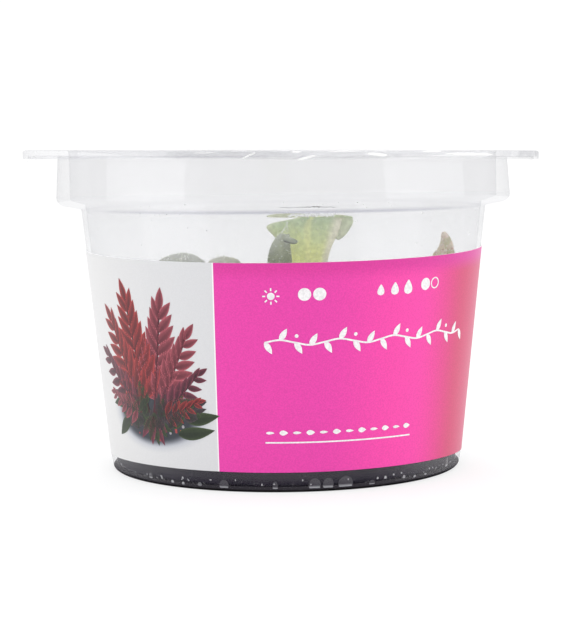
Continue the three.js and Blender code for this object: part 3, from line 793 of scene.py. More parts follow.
def cup_profile():
    foot_out = wall_radius(0) - FOOT_FILLET
    foot_in = foot_out - FOOT_WIDTH
    floor = BASE_RECESS + BASE_THICK
    step = SHOULDER_Z + SHOULDER_THICK
    corner = SHOULDER_Z + SHOULDER_RISE + COLLAR_CORNER
    ledge = step + SHOULDER_RISE + LEDGE_FILLET
    lip_bottom = FLANGE_TOP - LIP_HEIGHT + LIP_EDGE
    under_flange = FLANGE_TOP - FLANGE_THICK
    lip_in = FLANGE_R - LIP_THICK
    collar_top = collar_radius(under_flange) + FLANGE_FILLET
    below_step = SHOULDER_Z - STEP_FILLET
    return [
        (0, BASE_RECESS),
        (foot_in - BASE_RECESS, BASE_RECESS),
        (foot_in - 0.1, 0.05 + OFF_FLOOR),
        (foot_in + 0.1, OFF_FLOOR),
        *arc(foot_out, FOOT_FILLET + OFF_FLOOR, FOOT_FILLET, -90, -6, 10),
        *[(wall_radius(z), z) for z in (2.2, 6, 12, 18, 24, 30, 36, 42, 46, SHOULDER_Z - 0.6)],
        *arc(wall_radius(SHOULDER_Z) + STEP_FILLET, below_step, STEP_FILLET, 180, 90, 3),
        *arc(collar_radius(corner) - COLLAR_CORNER, corner, COLLAR_CORNER, -90, 0, 8),
        *[(collar_radius(z), z) for z in (corner + 0.3, 52, 55, under_flange - 0.7)],
        *arc(collar_top, under_flange - FLANGE_FILLET, FLANGE_FILLET, 180, 90, 3),
        *arc(lip_in - LIP_FILLET, under_flange - LIP_FILLET, LIP_FILLET, 90, 0, 3),
        *arc(lip_in + LIP_EDGE, lip_bottom, LIP_EDGE, 180, 270, 3),
        *arc(FLANGE_R - LIP_EDGE, lip_bottom, LIP_EDGE, -90, 0, 3),
        *arc(FLANGE_R - EDGE, FLANGE_TOP - EDGE, EDGE, 0, 90, 4),
        *arc(COLLAR_IN + EDGE, FLANGE_TOP - EDGE, EDGE, 90, 180, 4),
        *[(COLLAR_IN, z) for z in (FLANGE_TOP - 0.8, 55, 52, ledge + 0.4)],
        *arc(COLLAR_IN - LEDGE_FILLET, ledge, LEDGE_FILLET, 0, -90, 5),
        *arc(wall_radius(step) - WALL + EDGE, step - EDGE, EDGE, 90, 180, 4),
        *[(wall_radius(z) - WALL, z) for z in (step - 1.0, 44, 36, 28, 20, 12, 6, 2.6)],
        *arc(wall_radius(floor) - WALL - FLOOR_FILLET, floor + FLOOR_FILLET, FLOOR_FILLET, -6, -90, 6),
        *[(r, floor) for r in (20, 8, 0)],
    ]


def warp_rim(piece):
    """The flange is a little out of level, as on a cup that was sealed warm."""
    for vertex in piece.data.vertices:
        share = clamped((vertex.co.z / MM - SHOULDER_Z - 1.5) / 7.0)
        outer = clamped((math.hypot(vertex.co.x, vertex.co.y) / MM - 41.6) / 2.0)
        vertex.co.z -= RIM_WARP * vertex.co.x * share * share * (3 - 2 * share)
        vertex.co.x -= (COLLAR_ASIDE + RIM_ASIDE * outer) * MM * share


def cup_face_kind(face):
    """Which plastic a face wears: 0 outside, 1 against the gel, 2 inside, 3 on the step."""
    middle = face.center / MM
    if abs(middle.z - SHOULDER_Z - 0.7) < 1.4 and abs(face.normal.z) > 0.6:
        return 3
    if middle.z < BASE_RECESS + BASE_THICK - 0.05 or middle.z > FLANGE_TOP - 0.4:
        return 0
    skin = COLLAR_IN + 0.4 if middle.z > SHOULDER_Z else wall_radius(middle.z) - WALL / 2
    if math.hypot(middle.x, middle.y) > skin:
        return 0
    return 1 if middle.z < GEL_TOP + GEL_EDGE_RISE else 2


def make_cup():
    cup = turned("clear_cup", cup_profile(), CUP_STEPS)
    wear(cup, clear_plastic("clear_cup_plastic", 1.2), wetted_plastic(),
         clear_plastic("clear_plastic_inside", 0.35), clear_plastic("clear_plastic_step", 0.0))
    for face in cup.data.polygons:
        face.material_index = cup_face_kind(face)
    warp_rim(cup)
    finish_piece(cup, "cup", 35)


# ---- sealing film ----

def film_height(x, y):
    """The slack film's height over the mouth, as packed, in mm."""
    r = math.hypot(x, y) / (COLLAR_IN - EDGE)
    if r >= 1:
        return FLANGE_TOP
    turn = math.atan2(y, x)
    slack = 1 - r * r
    fold = math.cos(5 * turn + 2.2 * r + 0.6) + 0.7 * math.cos(9 * turn - 3.1 * r + 2.0)
    height = FLANGE_TOP - FILM_SAG * slack - FILM_WAVE * fold * r * math.sqrt(slack)
    return min(height, FLANGE_TOP - 0.25 * min(1.0, 4 * slack))


def crease_list():
    """Seeded creases: a middle point, a direction, half length, half width and height."""
    creases = []
    for i in range(CREASES):
        turn = math.pi * draw(i + 0.1)
        radius = 14 + 21 * abs(draw(i + 0.2))
        way = turn + 0.9 * draw(i + 0.3)
        creases.append((radius * math.cos(turn), radius * math.sin(turn), math.cos(way), math.sin(way),
                        4 + 5 * abs(draw(i + 0.4)), 0.5 + 0.9 * abs(draw(i + 0.5)), 0.14 * draw(i + 0.6)))
    return creases


def crease_lift(x, y, creases):
    lift = 0.0
    for at_x, at_y, way_x, way_y, long, wide, high in creases:
        dx = x - at_x
        dy = y - at_y
        along = (dx * way_x + dy * way_y) / long
        if abs(along) < 1:
            across = (dy * way_x - dx * way_y) / wide
            lift += high * (1 - along * along) ** 2 * math.exp(-across * across)
    return lift


def make_film():
    mouth = COLLAR_IN - EDGE
    inner = [(mouth * math.sin(math.pi / 2 * i / 44), FLANGE_TOP) for i in range(44)]
    rim = [(mix(mouth, FILM_R, i / 8), FLANGE_TOP) for i in range(9)]
    film = turned("clear_sealing_film", inner + rim, FILM_STEPS)
    creases = crease_list()
    for vertex in film.data.vertices:
        x = vertex.co.x / MM
        y = vertex.co.y / MM
        inside = clamped((mouth - math.hypot(x, y)) / 2.0)
        height = film_height(x, y) + inside * crease_lift(x, y, creases)
        vertex.co.z = (height + FILM_THICK / 2 + 0.03) * MM
    warp_rim(film)
    apply_modifier(film, "SOLIDIFY", thickness=FILM_THICK * MM, offset=0.0)
    wear(film, film_plastic())
    finish_piece(film, "sealing_film", 60)


# ---- label ----

def make_label():
    def point(u, t):
        return on_label(u * LABEL_HALF_TURN, mix(LABEL_LOW, LABEL_HIGH, t), LABEL_LIFT)
    label = grid("printed_label", 144, 12, point)
    wear(label, label_print(), white_back())
    apply_modifier(label, "SOLIDIFY", thickness=LABEL_THICK * MM, offset=-1.0, material_offset=1,
                   material_offset_rim=1)
    finish_piece(label, "label", 40)


# ---- printed motifs, in millimetres round the wall from the front and above the table ----

ROUND_MM = math.radians(1) * wall_radius((LABEL_LOW + LABEL_HIGH) / 2)     # one degree round the wall


def inked(name, columns, rows, point, colour):
    """A printed patch: point(u, t) gives its place round and up the label, colour(u, t) its ink."""
    def place(u, t):
        aside, up = point(u, t)
        return on_label(aside / ROUND_MM, up, INK_LIFT)
    patch = grid(name, columns, rows, place)
    ink = patch.data.color_attributes.new("ink", "FLOAT_COLOR", "POINT")
    for i in range(len(patch.data.vertices)):
        u = 2 * (i % (columns + 1)) / columns - 1
        t = (i // (columns + 1)) / rows
        ink.data[i].color = (*colour(u, t), 1)
    return patch


def inked_leaf(base, angle, length, width, inks, bend=0.0):
    """A pointed leaf: plain in one ink, or in a dark and a light one, with a darker half and light edge."""
    turn = math.radians(angle)
    way = (math.cos(turn), math.sin(turn))
    side = (-way[1], way[0])

    def point(u, t):
        half = width / 2 * math.sin(math.pi * (0.04 + 0.96 * t) ** 0.8) ** 0.9
        across = u * half + bend * length * t * t
        return tuple(base[i] + way[i] * length * t + side[i] * across for i in (0, 1))

    def colour(u, t):
        share = 0.10 + 0.30 * t * t + (0.22 if u > 0.05 else 0.0) * (1 - abs(u)) + 0.75 * u ** 4
        return tuple(mix(dark, light, clamped(share)) for dark, light in zip(*inks))

    if len(inks) == 3:
        return inked("leaf_print", 2, 5, point, lambda u, t: inks)
    return inked("leaf_print", 6, 10, point, colour)


def inked_line(points, width, ink):
    """A printed line of even width through the points."""
    def point(u, t):
        x, y = spline(points, t)
        ahead = spline(points, min(1.0, t + 0.01))
        back = spline(points, max(0.0, t - 0.01))
        dx, dy = ahead[0] - back[0], ahead[1] - back[1]
        size = math.hypot(dx, dy)
        return x - dy / size * u * width / 2, y + dx / size * u * width / 2

    return inked("line_print", 2, 6 * (len(points) - 1), point, lambda u, t: ink)


def inked_ring(middle, inner, outer, ink):
    """A printed dot, or a ring where inner is above nought."""
    def point(u, t):
        radius = mix(inner, outer, (u + 1) / 2)
        angle = 2 * math.pi * t
        return middle[0] + radius * math.cos(angle), middle[1] + radius * math.sin(angle)
    return inked("dot_print", 2, 28 if outer > 0.5 else 12, point, lambda u, t: ink)


def inked_drop(middle, high, ink):
    def point(u, t):
        half = high * 0.34 * math.sin(math.pi * t ** 0.62) ** 0.8 if 0 < t < 1 else 0.0
        return middle[0] + u * half, middle[1] + high * (t - 0.5)
    return inked("drop_print", 4, 14, point, lambda u, t: ink)


def finish_print(name, patches):
    """Joins printed patches to one thin layer of ink on the label."""
    layer = join(name, patches)
    edit_all(layer, bpy.ops.mesh.remove_doubles, threshold=0.002 * MM)
    apply_modifier(layer, "SOLIDIFY", thickness=INK_THICK * MM, offset=-1.0)
    wear(layer, ink_material(name))
    finish_piece(layer)


def frond(base, angle, length, pairs, inks):
    """A printed feather of paired leaflets on a curved stem."""
    lean = math.radians(angle)
    spine = []
    for i in range(5):
        t = i / 4
        way = lean + 0.22 * math.cos(lean) * t
        spine.append((base[0] + length * t * math.cos(way), base[1] + length * t * math.sin(way)))
    patches = [inked_line(spine, 0.42, inks[0])]
    for i in range(pairs):
        t = 0.16 + 0.74 * i / (pairs - 1)
        size = length * (0.40 - 0.20 * t)
        for side in (-1, 1):
            open_angle = angle + side * (62 - 30 * t)
            patches.append(inked_leaf(spline(spine, t), open_angle, size, size * 0.40, inks, -0.10 * side))
    return patches + [inked_leaf(spine[-1], angle + 4, length * 0.22, length * 0.09, inks)]


def make_sprig():
    """A generic posy: crimson feathers over a dark mossy foot with small berries."""
    middle = SPRIG_TURN * ROUND_MM
    patches = []
    for i in range(44):
        angle = mix(205, -25, i / 43) + 12 * draw(i + 30.5)
        aside = -5.0 * math.cos(math.pi * i / 43) + 3.0 * draw(i + 33.5)
        root = (middle + aside, 12.4 + 2.6 * draw(i + 34.5))
        inks = INKS["brown" if i % 2 else "moss"]
        patches.append(inked_leaf(root, angle, 5.2 + 2.4 * draw(i + 31.5), 2.3, inks, 0.12))
    for aside, angle, length, pairs, ink in FRONDS:
        patches += frond((middle + aside, 13.0), angle, length, pairs, INKS[ink])
    for i in range(9):
        angle = mix(-150, -30, i / 8) + 8 * draw(i + 36.5)
        inks = INKS["plum" if i % 2 else "moss"]
        patches.append(inked_leaf((middle, 12.4), angle, 4.6 + draw(i + 37.5), 1.7, inks, 0.1))
    for i in range(60):
        turn = math.pi * (1.5 + 0.62 * draw(i + 40.5))
        out = 0.55 + 0.45 * draw(i + 41.5)
        spot = (middle + 8.0 * out * math.cos(turn), 12.6 + 4.8 * out * math.sin(turn))
        patches.append(inked_ring(spot, 0.0, 0.20 + 0.10 * draw(i + 42.5), BERRIES[i % 5]))
    finish_print("printed_posy", patches)


def garland(start, end, height):
    """White leaves in turn above and below a waving stem."""
    count = 17
    stem = []
    patches = []
    for i in range(count):
        x = mix(start, end, i / (count - 1))
        y = height + 0.45 * math.sin(i * math.pi / 2)
        stem.append((x, y))
        side = 1 if i % 2 else -1
        patches.append(inked_leaf((x, y), side * 52, 2.3, 1.05, WHITE_INK, 0.1 * side))
        if i % 4 == 2:
            patches.append(inked_ring((x + 0.3, y - side * 1.1), 0.0, 0.32, WHITE_INK))
    return patches + [inked_line(stem, 0.30, WHITE_INK)]


def make_marks():
    """White marks on the pink panel: a sun, drops, dots, a garland and a small border."""
    patches = garland(-5.6 * ROUND_MM, 61.0 * ROUND_MM, 26.2)
    for i in range(8):
        way = (math.cos(i * math.pi / 4), math.sin(i * math.pi / 4))
        ray = [(SUN_TURN * ROUND_MM + way[0] * r, SUN_HEIGHT + way[1] * r) for r in (0.9, 1.15, 1.4)]
        patches.append(inked_line(ray, 0.24, WHITE_INK))
    for turn, up, inner, outer in DOTS:
        patches.append(inked_ring((turn * ROUND_MM, up), inner, outer, WHITE_INK))
    for i, turn in enumerate(DROP_TURNS):
        patches.append(inked_drop((turn * ROUND_MM, 34.6 + 0.1 * i), 1.9 + 0.3 * i, WHITE_INK))
    rule = [(mix(-6, 40, i / 8) * ROUND_MM, 8.9) for i in range(9)]
    patches.append(inked_line(rule, 0.26, WHITE_INK))
    for i in range(12):
        foot = (mix(-4.5, 38.5, i / 11) * ROUND_MM - 0.75, 10.6)
        patches.append(inked_leaf(foot, 0, 1.5, 0.9 if i % 2 else 0.5, WHITE_INK))
    finish_print("printed_marks", patches)


# ---- gel ----

def gel_profile():
    floor = BASE_RECESS + BASE_THICK + 0.02
    edge_z = GEL_TOP + GEL_EDGE_RISE

    def side(z):
        return wall_radius(z) - WALL - GEL_GAP

    rise = []
    for i in range(7):
        t = i / 6
        rise.append((side(edge_z) - GEL_EDGE_WIDTH * t, edge_z - GEL_EDGE_RISE * (1 - (1 - t) ** 2)))
    return [
        (0, floor),
        (15, floor),
        *arc(side(floor) - FLOOR_FILLET, floor + FLOOR_FILLET, FLOOR_FILLET, -90, -6, 6),
        (side(6), 6),
        (side(11), 11),
        *rise,
        *[(r, GEL_TOP) for r in (27, 22, 17, 12, 7, 3, 0)],
    ]


def make_gel():
    gel = turned("dark_gel", gel_profile(), GEL_STEPS)
    for plantlet in PLANTLETS:
        x, y = plantlet["at"]
        drill = primitive("drill", bpy.ops.mesh.primitive_cylinder_add, vertices=40, radius=HOLE_R * MM,
                          depth=2 * HOLE_DEPTH * MM, location=(x * MM, y * MM, GEL_TOP * MM))
        apply_modifier(gel, "BOOLEAN", operation="DIFFERENCE", object=drill, solver="EXACT")
        bpy.data.objects.remove(drill)
    wear(gel, wet_gel(), gel_side())
    for face in gel.data.polygons:
        middle = face.center / MM
        if middle.z < GEL_TOP - 0.05 and (math.hypot(middle.x, middle.y) > 30 or face.normal.z < -0.5):
            face.material_index = 1
    finish_piece(gel, "culture_gel", 35)


# Bubbles against the wall near the gel's foot: turn, height of their flat bottom, half width, height.
BUBBLES = [
    (-49.3, 1.7, 0.55, 1.0), (-39.1, 1.5, 0.30, 0.45), (-34.7, 1.4, 0.28, 0.45), (-28.4, 1.5, 0.45, 0.55),
    (-19.9, 1.25, 0.95, 1.35), (-3.5, 1.35, 0.50, 1.25), (8.8, 1.2, 1.15, 1.75), (13.1, 1.35, 1.05, 1.75),
    (18.8, 1.3, 1.45, 1.85), (27.9, 1.4, 0.65, 0.75), (32.9, 2.1, 0.26, 0.5), (40.6, 1.7, 0.35, 0.55),
    (45.6, 1.5, 0.32, 0.4), (51.3, 1.5, 0.35, 0.35), (66.5, 1.8, 0.75, 1.6),
]


def small_bubbles():
    """Seeded ones: a fine row round the front half, then larger ones behind."""
    spots = []
    for i in range(26):
        spots.append((mix(-100, 100, (i + 0.5) / 26) + 4 * draw(i + 60.5), 1.9 + 0.8 * abs(draw(i + 61.5)),
                      0.10 + 0.12 * abs(draw(i + 62.5)), 0.2 + 0.2 * abs(draw(i + 63.5))))
    for i in range(14):
        spots.append((180 + 80 * draw(i + 70.5), 1.4 + 0.6 * abs(draw(i + 71.5)),
                      0.4 + 0.6 * abs(draw(i + 72.5)), 0.8 + 0.9 * abs(draw(i + 73.5))))
    return spots


def mark_bubble_glints(blister, spot):
    """Marks where a bubble gets a painted highlight: all over the small ones, along the foot of the others.
    """
    small = clamped((0.5 - spot[2]) / 0.2)
    rim = blister.data.attributes.new("rim", "FLOAT", "POINT")
    for i, vertex in enumerate(blister.data.vertices):
        at_foot = vertex.co.z < -0.3 and abs(vertex.co.x) < 0.85
        rim.data[i].value = max(0.75 * small, 1.0 if at_foot else 0.0)


def make_bubbles():
    """Flattened blisters pressed against the inside of the wall, in the gel's edge."""
    def point(i, spot, x, y, z):
        turn, bottom, half, high = spot
        up = max(0.64, bottom - 0.75) + high * (max(z, -0.35) + 0.35) / 1.35
        lift = -WALL - 0.01 - 0.05 * (1 - max(0.0, -y))
        return on_wall(turn + math.degrees(half * x / wall_radius(up)), up, lift)

    bubbles = beads("gel_bubbles", ball(14, 8), BUBBLES + small_bubbles(), point, mark_bubble_glints)
    wear(bubbles, gel_bubble())
    edit_all(bubbles, bpy.ops.mesh.normals_make_consistent, inside=False)
    finish_piece(bubbles, smooth=60)


# ---- condensed droplets on the inside of the wall ----

def drop_places():
    """Turn, height and size of each droplet.

    First a close row under the shoulder, a streak down the fan leaf and specks over the horn leaf,
    then scattered ones.
    """
    places = []
    for i in range(54):
        places.append((mix(1.2, 13.8, (i + 0.5) / 54), 47.62 + 0.20 * draw(i + 80.5),
                       0.17 + 0.07 * draw(i + 81.5)))
    for i in range(6):
        t = (i + 0.5) / 6
        places.append((mix(-0.6, 1.0, t) + 0.5 * draw(i + 83.5), mix(44.75, 46.6, t),
                       0.12 + 0.02 * draw(i + 85.5)))
    for i in range(4):
        places.append((0.8 + 0.35 * draw(i + 84.5), 44.9 + 0.40 * i, 0.10))
    for i in range(12):
        places.append((41.0 + 4.0 * draw(i + 86.5), 43.0 + 1.4 * draw(i + 87.5),
                       0.09 + 0.03 * draw(i + 88.5)))
    for i in range(120):
        turn = 180 * draw(i + 90.5)
        if abs(turn) > 25:
            places.append((turn, 47.9 - 5.5 * abs(draw(i + 91.5)) ** 3, 0.11 + 0.07 * draw(i + 92.5)))
    return places


def make_droplets():
    def point(i, spot, x, y, up):
        turn, z, size = spot
        angle = turn + math.degrees(size * x * (1 + 0.3 * draw(i + 95.5)) / wall_radius(z))
        return on_wall(angle, z + size * up, -WALL + 0.45 * size * (-y - 1.0) - 0.01)

    bead = primitive("bead", bpy.ops.mesh.primitive_ico_sphere_add, subdivisions=2, radius=1.0)
    droplets = beads("wall_droplets", bead, drop_places(), point)
    wear(droplets, dew_material())
    finish_piece(droplets, smooth=60)


# Painted highlights: white glints on the lip where the film's wrinkles catch the light, laid on as
# thin white bodies: x, height, half width, half height and how much it slants, in mm.
LIP_GLINTS = [
    (-5.4, 57.70, 1.05, 0.13, 0.42), (2.2, 58.15, 0.9, 0.11, 0.0), (3.9, 57.25, 1.5, 0.20, 0.22),
    (15.3, 57.62, 1.7, 0.26, -0.1), (24.6, 58.0, 1.7, 0.16, 0.0), (31.2, 57.50, 4.4, 0.22, -0.03),
    (-44.9, 57.15, 0.8, 0.18, 0.0), (-12.5, 58.2, 2.0, 0.05, 0.0), (9.8, 58.2, 2.4, 0.05, 0.0),
]


def make_lip_glints():
    centre = -(COLLAR_ASIDE + RIM_ASIDE)

    def point(i, spot, across, out, up):
        x, z, half, high, slant = spot
        away = x + half * across - centre
        front = -math.sqrt(max(0.0, FLANGE_R * FLANGE_R - away * away)) + 0.05 * out - 0.01
        return away + centre, front, z + high * up + slant * half * across

    # Painted highlights, laid on the lip as thin white bodies.
    blisters = beads("painted_lip_glints", ball(16, 8), LIP_GLINTS, point)
    wear(blisters, lip_glint_material())
    finish_piece(blisters, smooth=60)


def make_wet_line():
    """A thin broken line of wet beads in the corner above the step, over the fan leaf, tinted grey as painted
    shade.
    """
    def point(i, share, x, y, z):
        turn = mix(-0.8, 12.6, share) + 0.15 * draw(i + 110.5)
        strong = math.exp(-((turn - 7.3) / 3.2) ** 2)
        half = 0.18 + 0.10 * draw(i + 111.5)
        high = 0.035 + 0.075 * strong * (0.6 + 0.4 * draw(i + 112.5))
        up = 49.0 + 0.06 * draw(i + 113.5) + high * z + 0.10 * strong
        return around(math.radians(turn) + half * x / COLLAR_IN, COLLAR_IN - 0.04 + 0.03 * y, up)

    shares = [(i + 0.5) / WET_BEADS for i in range(WET_BEADS)]
    line = beads("wet_line", ball(8, 6), shares, point)
    wear(line, wet_shadow())
    finish_piece(line, smooth=60)


# ---- leaves ----

def blade_width(t):
    """Width along a blade, as a share of its greatest width."""
    widest = 0.66
    if t < widest:
        return mix(0.32, 1, (1 - math.cos(t / widest * math.pi)) / 2)
    over = (t - widest) / (1 - widest)
    return max(0.16, math.sqrt(max(0.0, 1 - over ** 2.4)))


def leaf_curve(leaf):
    """The leaf's arched middle line in its own upright plane, as out and up at t."""
    root = (ROOT_OUT, leaf["root_up"])
    rise = leaf["rise"] - leaf["root_up"]
    knee = (leaf["reach"] * mix(0.62, 0.3, leaf["arch"]), root[1] + rise * mix(0.35, 0.98, leaf["arch"]))
    tip = (leaf["reach"], leaf["rise"])

    def along(t, i):
        return (1 - t) ** 2 * root[i] + 2 * t * (1 - t) * knee[i] + t * t * tip[i]

    def slope(t, i):
        return (1 - t) * (knee[i] - root[i]) + t * (tip[i] - knee[i])

    return along, slope


def groove(u):
    """The furrow over a leaf's midrib."""
    return -GROOVE * math.exp(-(u / GROOVE_WIDE) ** 2)


def leaf_point(leaf, at, u, t):
    """A point on the leaf's middle sheet, in mm in the object's frame."""
    along, slope = leaf_curve(leaf)
    half = blade_width(t) * leaf["width"] / 2
    steep = math.hypot(slope(t, 0), slope(t, 1))
    face = (-slope(t, 1) / steep, slope(t, 0) / steep)
    spoon = leaf["spoon"]
    lift = spoon * half * u * u + half * groove(u)
    lift += LEAF_WAVE * half * abs(u) ** 3 * math.sin(9 * t + 2.4 * u + leaf["phase"])
    across = u * half * (1 - 0.25 * spoon * u * u)
    out = along(t, 0) + face[0] * lift
    up = along(t, 1) + face[1] * lift
    dx, dy = math.cos(leaf["direction"]), math.sin(leaf["direction"])
    return (at[0] + dx * out - dy * across, at[1] + dy * out + dx * across, GEL_TOP + up)


def flesh(u, t):
    """A leaf's thickness in mm: more at the stalk and along the middle, less at the margins."""
    return mix(LEAF_THICK * mix(STALK_SHARE, 1, min(1, 3 * t)), EDGE_THICK, u * u)


def leaf_of(point, material, columns, rows):
    """A leaf whose middle sheet comes from point(u, t), with its flesh on both sides."""
    blade = grid("blade", columns, rows, point)
    wear(blade, material)
    group = blade.vertex_groups.new(name="thick")
    thickest = LEAF_THICK * STALK_SHARE
    for row in range(rows + 1):
        for column in range(columns + 1):
            share = flesh(2 * column / columns - 1, row / rows) / thickest
            group.add([row * (columns + 1) + column], share, "REPLACE")
    apply_modifier(blade, "SOLIDIFY", thickness=thickest * MM, offset=0.0, vertex_group="thick")
    apply_modifier(blade, "SUBSURF", levels=1, render_levels=1)
    return blade


def spline(rows, t):
    """The row at t on a smooth curve through all the rows."""
    place = t * (len(rows) - 1)
    i = min(int(place), len(rows) - 2)
    f = place - i
    near = [rows[max(i - 1, 0)], rows[i], rows[i + 1], rows[min(i + 2, len(rows) - 1)]]
    return [
        0.5 * (2 * q + (r - p) * f + (2 * p - 5 * q + 4 * r - s) * f * f + (3 * q - p - 3 * r + s) * f ** 3)
        for p, q, r, s in zip(*near)
    ]


def lofted_point(rows, ripple=0.0, rib=None):
    """A leaf's sheet as point(u, t): smooth through its rows, its middle standing out to the front."""
    flat = []
    for row in rows:
        if len(row) == 5:
            left, right, y, z, belly = row
            row = ((left, y, z), (right, y, z), belly)
        flat.append([*row[0], *row[1], row[2]])

    def ends(t):
        values = spline(flat, clamped(t))
        return Vector(values[0:3]), Vector(values[3:6]), values[6]

    def point(u, t):
        left, right, belly = ends(t)
        before, after = ends(t - 0.03), ends(t + 0.03)
        front = (right - left).cross(after[0] + after[1] - before[0] - before[1])
        front = front.normalized() if front.length > 1e-9 else Vector((0, -1, 0))
        middle = 0.5
        if rib is not None:
            middle = clamped((rib - left.x) / (right.x - left.x), 0.25, 0.75)
        across = (u + 1) * middle if u < 0 else middle + u * (1 - middle)
        wave = ripple * abs(u) ** 2.5 * math.sin(17 * t + 2.5 * u)
        return left.lerp(right, across) + front * (belly * (1 - u * u) + groove(u) * min(1, belly) + wave)

    return point


def room_for(plantlet, direction, half_width, wanted):
    """How far a leaf may reach before it meets the wall or the line to a neighbouring rosette."""
    px, py = plantlet["at"]
    dx, dy = math.cos(direction), math.sin(direction)
    planes = []
    for i in range(24):
        nx, ny = math.cos(math.radians(15 * i)), math.sin(math.radians(15 * i))
        planes.append((nx, ny, WALL_ROOM - nx * px - ny * py))
    for other in PLANTLETS:
        if other is not plantlet:
            ax, ay = other["at"][0] - px, other["at"][1] - py
            apart = math.hypot(ax, ay)
            planes.append((ax / apart, ay / apart, (apart - CELL_GAP) / 2))
    reach = wanted
    for nx, ny, distance in planes:
        ahead = nx * dx + ny * dy
        beside = abs(nx * dy - ny * dx) * half_width
        if ahead > 0.08:
            reach = min(reach, (distance - beside) / ahead)
    return max(1.5, reach)


def whorl_leaves(plantlet, number):
    """The rosette's leaves, whorl by whorl on the golden angle, as packed."""
    leaves = []
    turn = plantlet["first"]
    for ring, whorl in enumerate(WHORLS):
        for i in range(whorl["count"]):
            seed = 100 * number + 10 * ring + i
            direction = math.radians(turn + 9 * draw(seed))
            length = whorl["length"] * plantlet["size"] * (1 + 0.1 * draw(seed + 0.3))
            width = whorl["width"] * plantlet["size"] * (1 + 0.12 * draw(seed + 0.6))
            spread = length * math.cos(math.radians(whorl["tilt"] + 6 * draw(seed + 0.8)))
            reach = room_for(plantlet, direction, width / 2 + 0.4, spread)
            rise = ROOT_UP[ring] + math.sqrt(length * length - reach * reach)
            leaves.append({**whorl, "direction": direction, "reach": reach, "rise": rise, "width": width,
                           "root_up": ROOT_UP[ring], "phase": seed})
            turn += GOLDEN
    return leaves


def crown(plantlet, material):
    profile = [
        (0, -ROOT_DEPTH), (CROWN_R * 0.5, -ROOT_DEPTH), (CROWN_R, -1.2), (CROWN_R, CROWN_RISE * 0.5),
        (CROWN_R * 0.6, CROWN_RISE), (0, CROWN_RISE),
    ]
    piece = turned("crown", profile, 16)
    apply_modifier(piece, "SUBSURF", levels=1, render_levels=1)
    for vertex in piece.data.vertices:
        vertex.co += Vector((*plantlet["at"], GEL_TOP)) * MM
    wear(piece, material)
    return piece


# The leaves that show above the label, with the margins and tips that fold over on them: whose they
# are, their rows, finish, columns, steps, ripple and midrib; then how many glands they carry and
# between which parts of their length.
SHOWING_LEAVES = [
    ("plantlet_centre", FAN, "fan", 14, 30, 0.2, FAN_RIB, 60, (0.35, 0.95)),
    ("plantlet_centre", FINGER, "finger", 12, 24, 0.0, None, 46, (0.35, 0.97)),
    ("plantlet_centre", FAN_LAPEL, "lapel", 6, 12, 0.1, None, 8, (0.2, 0.9)),
    ("plantlet_right", HORN, "horn", 8, 24, 0.0, None, 40, (0.3, 0.97)),
    ("plantlet_left", MOUND, "mound", 12, 24, 0.1, None, 50, (0.4, 0.96)),
    ("plantlet_left", SMALL_MOUND, "small_mound", 10, 20, 0.1, None, 34, (0.4, 0.96)),
    ("plantlet_centre", FAN_ROLL, "fan_edge", 4, 16, 0.0, None, 0, (0, 1)),
    ("plantlet_centre", FINGER_BEAK, "beak", 6, 10, 0.0, None, 0, (0, 1)),
]

# Leaf finishes: the material's name, the colours of stalk, tip, rib and margin, and what differs.
LEAF_FINISHES = {
    "leaf": ("green_leaf", (0.46, 0.52, 0.18), (0.30, 0.42, 0.16), (0.60, 0.64, 0.36), (0.40, 0.48, 0.22),
             {}),
    "mound": ("pale_leaf", (0.23, 0.265, 0.10), (0.235, 0.27, 0.155), (0.48, 0.52, 0.33), (0.42, 0.45, 0.32),
              {"veins": 0.06}),
    "small_mound": ("pale_rosy_leaf", (0.42, 0.42, 0.20), (0.45, 0.44, 0.32), (0.56, 0.56, 0.40),
                    (0.47, 0.45, 0.34), {"veins": 0.06}),
    "leaf_olive": ("olive_leaf", (0.42, 0.42, 0.18), (0.32, 0.30, 0.15), (0.55, 0.52, 0.32),
                   (0.45, 0.28, 0.19), {}),
    "fan": ("fan_leaf", (0.91, 0.93, 0.50), (0.59, 0.69, 0.51), (0.92, 0.91, 0.56), (0.82, 0.80, 0.68),
            {"glow": 0.6, "rib_wide": 0.08, "veins": 0.06, "skirt": (0.76, 0.92, (0.93, 0.90, 0.80))}),
    "fan_edge": ("fan_leaf_edge", (0.74, 0.75, 0.62), (0.70, 0.78, 0.58), (0.74, 0.78, 0.60),
                 (0.72, 0.76, 0.60), {"glow": 0.7, "veins": 0.05}),
    "lapel": ("folded_margin", (0.76, 0.78, 0.64), (0.72, 0.78, 0.60), (0.78, 0.80, 0.66),
              (0.78, 0.80, 0.68), {"glow": 0.6, "veins": 0.05}),
    "finger": ("finger_leaf", (0.23, 0.27, 0.10), (0.48, 0.51, 0.42), (0.40, 0.44, 0.27),
               (0.44, 0.43, 0.43), {"glow": 0.3, "rib_wide": 0.2, "veins": 0.05}),
    # The beak's near-black band on its lower side is painted shade under the curled tip.
    "beak": ("finger_tip", (0.34, 0.38, 0.27), (0.24, 0.28, 0.19), (0.30, 0.34, 0.23), (0.24, 0.27, 0.19),
             {"glow": 0.2, "skirt": (0.55, 0.82, (0.04, 0.05, 0.03))}),
    "horn": ("horn_leaf", (0.78, 0.70, 0.48), (0.84, 0.70, 0.62), (0.76, 0.64, 0.48), (0.66, 0.56, 0.50),
             {"glow": 0.5, "veins": 0.06, "fleck": 0.8}),
}


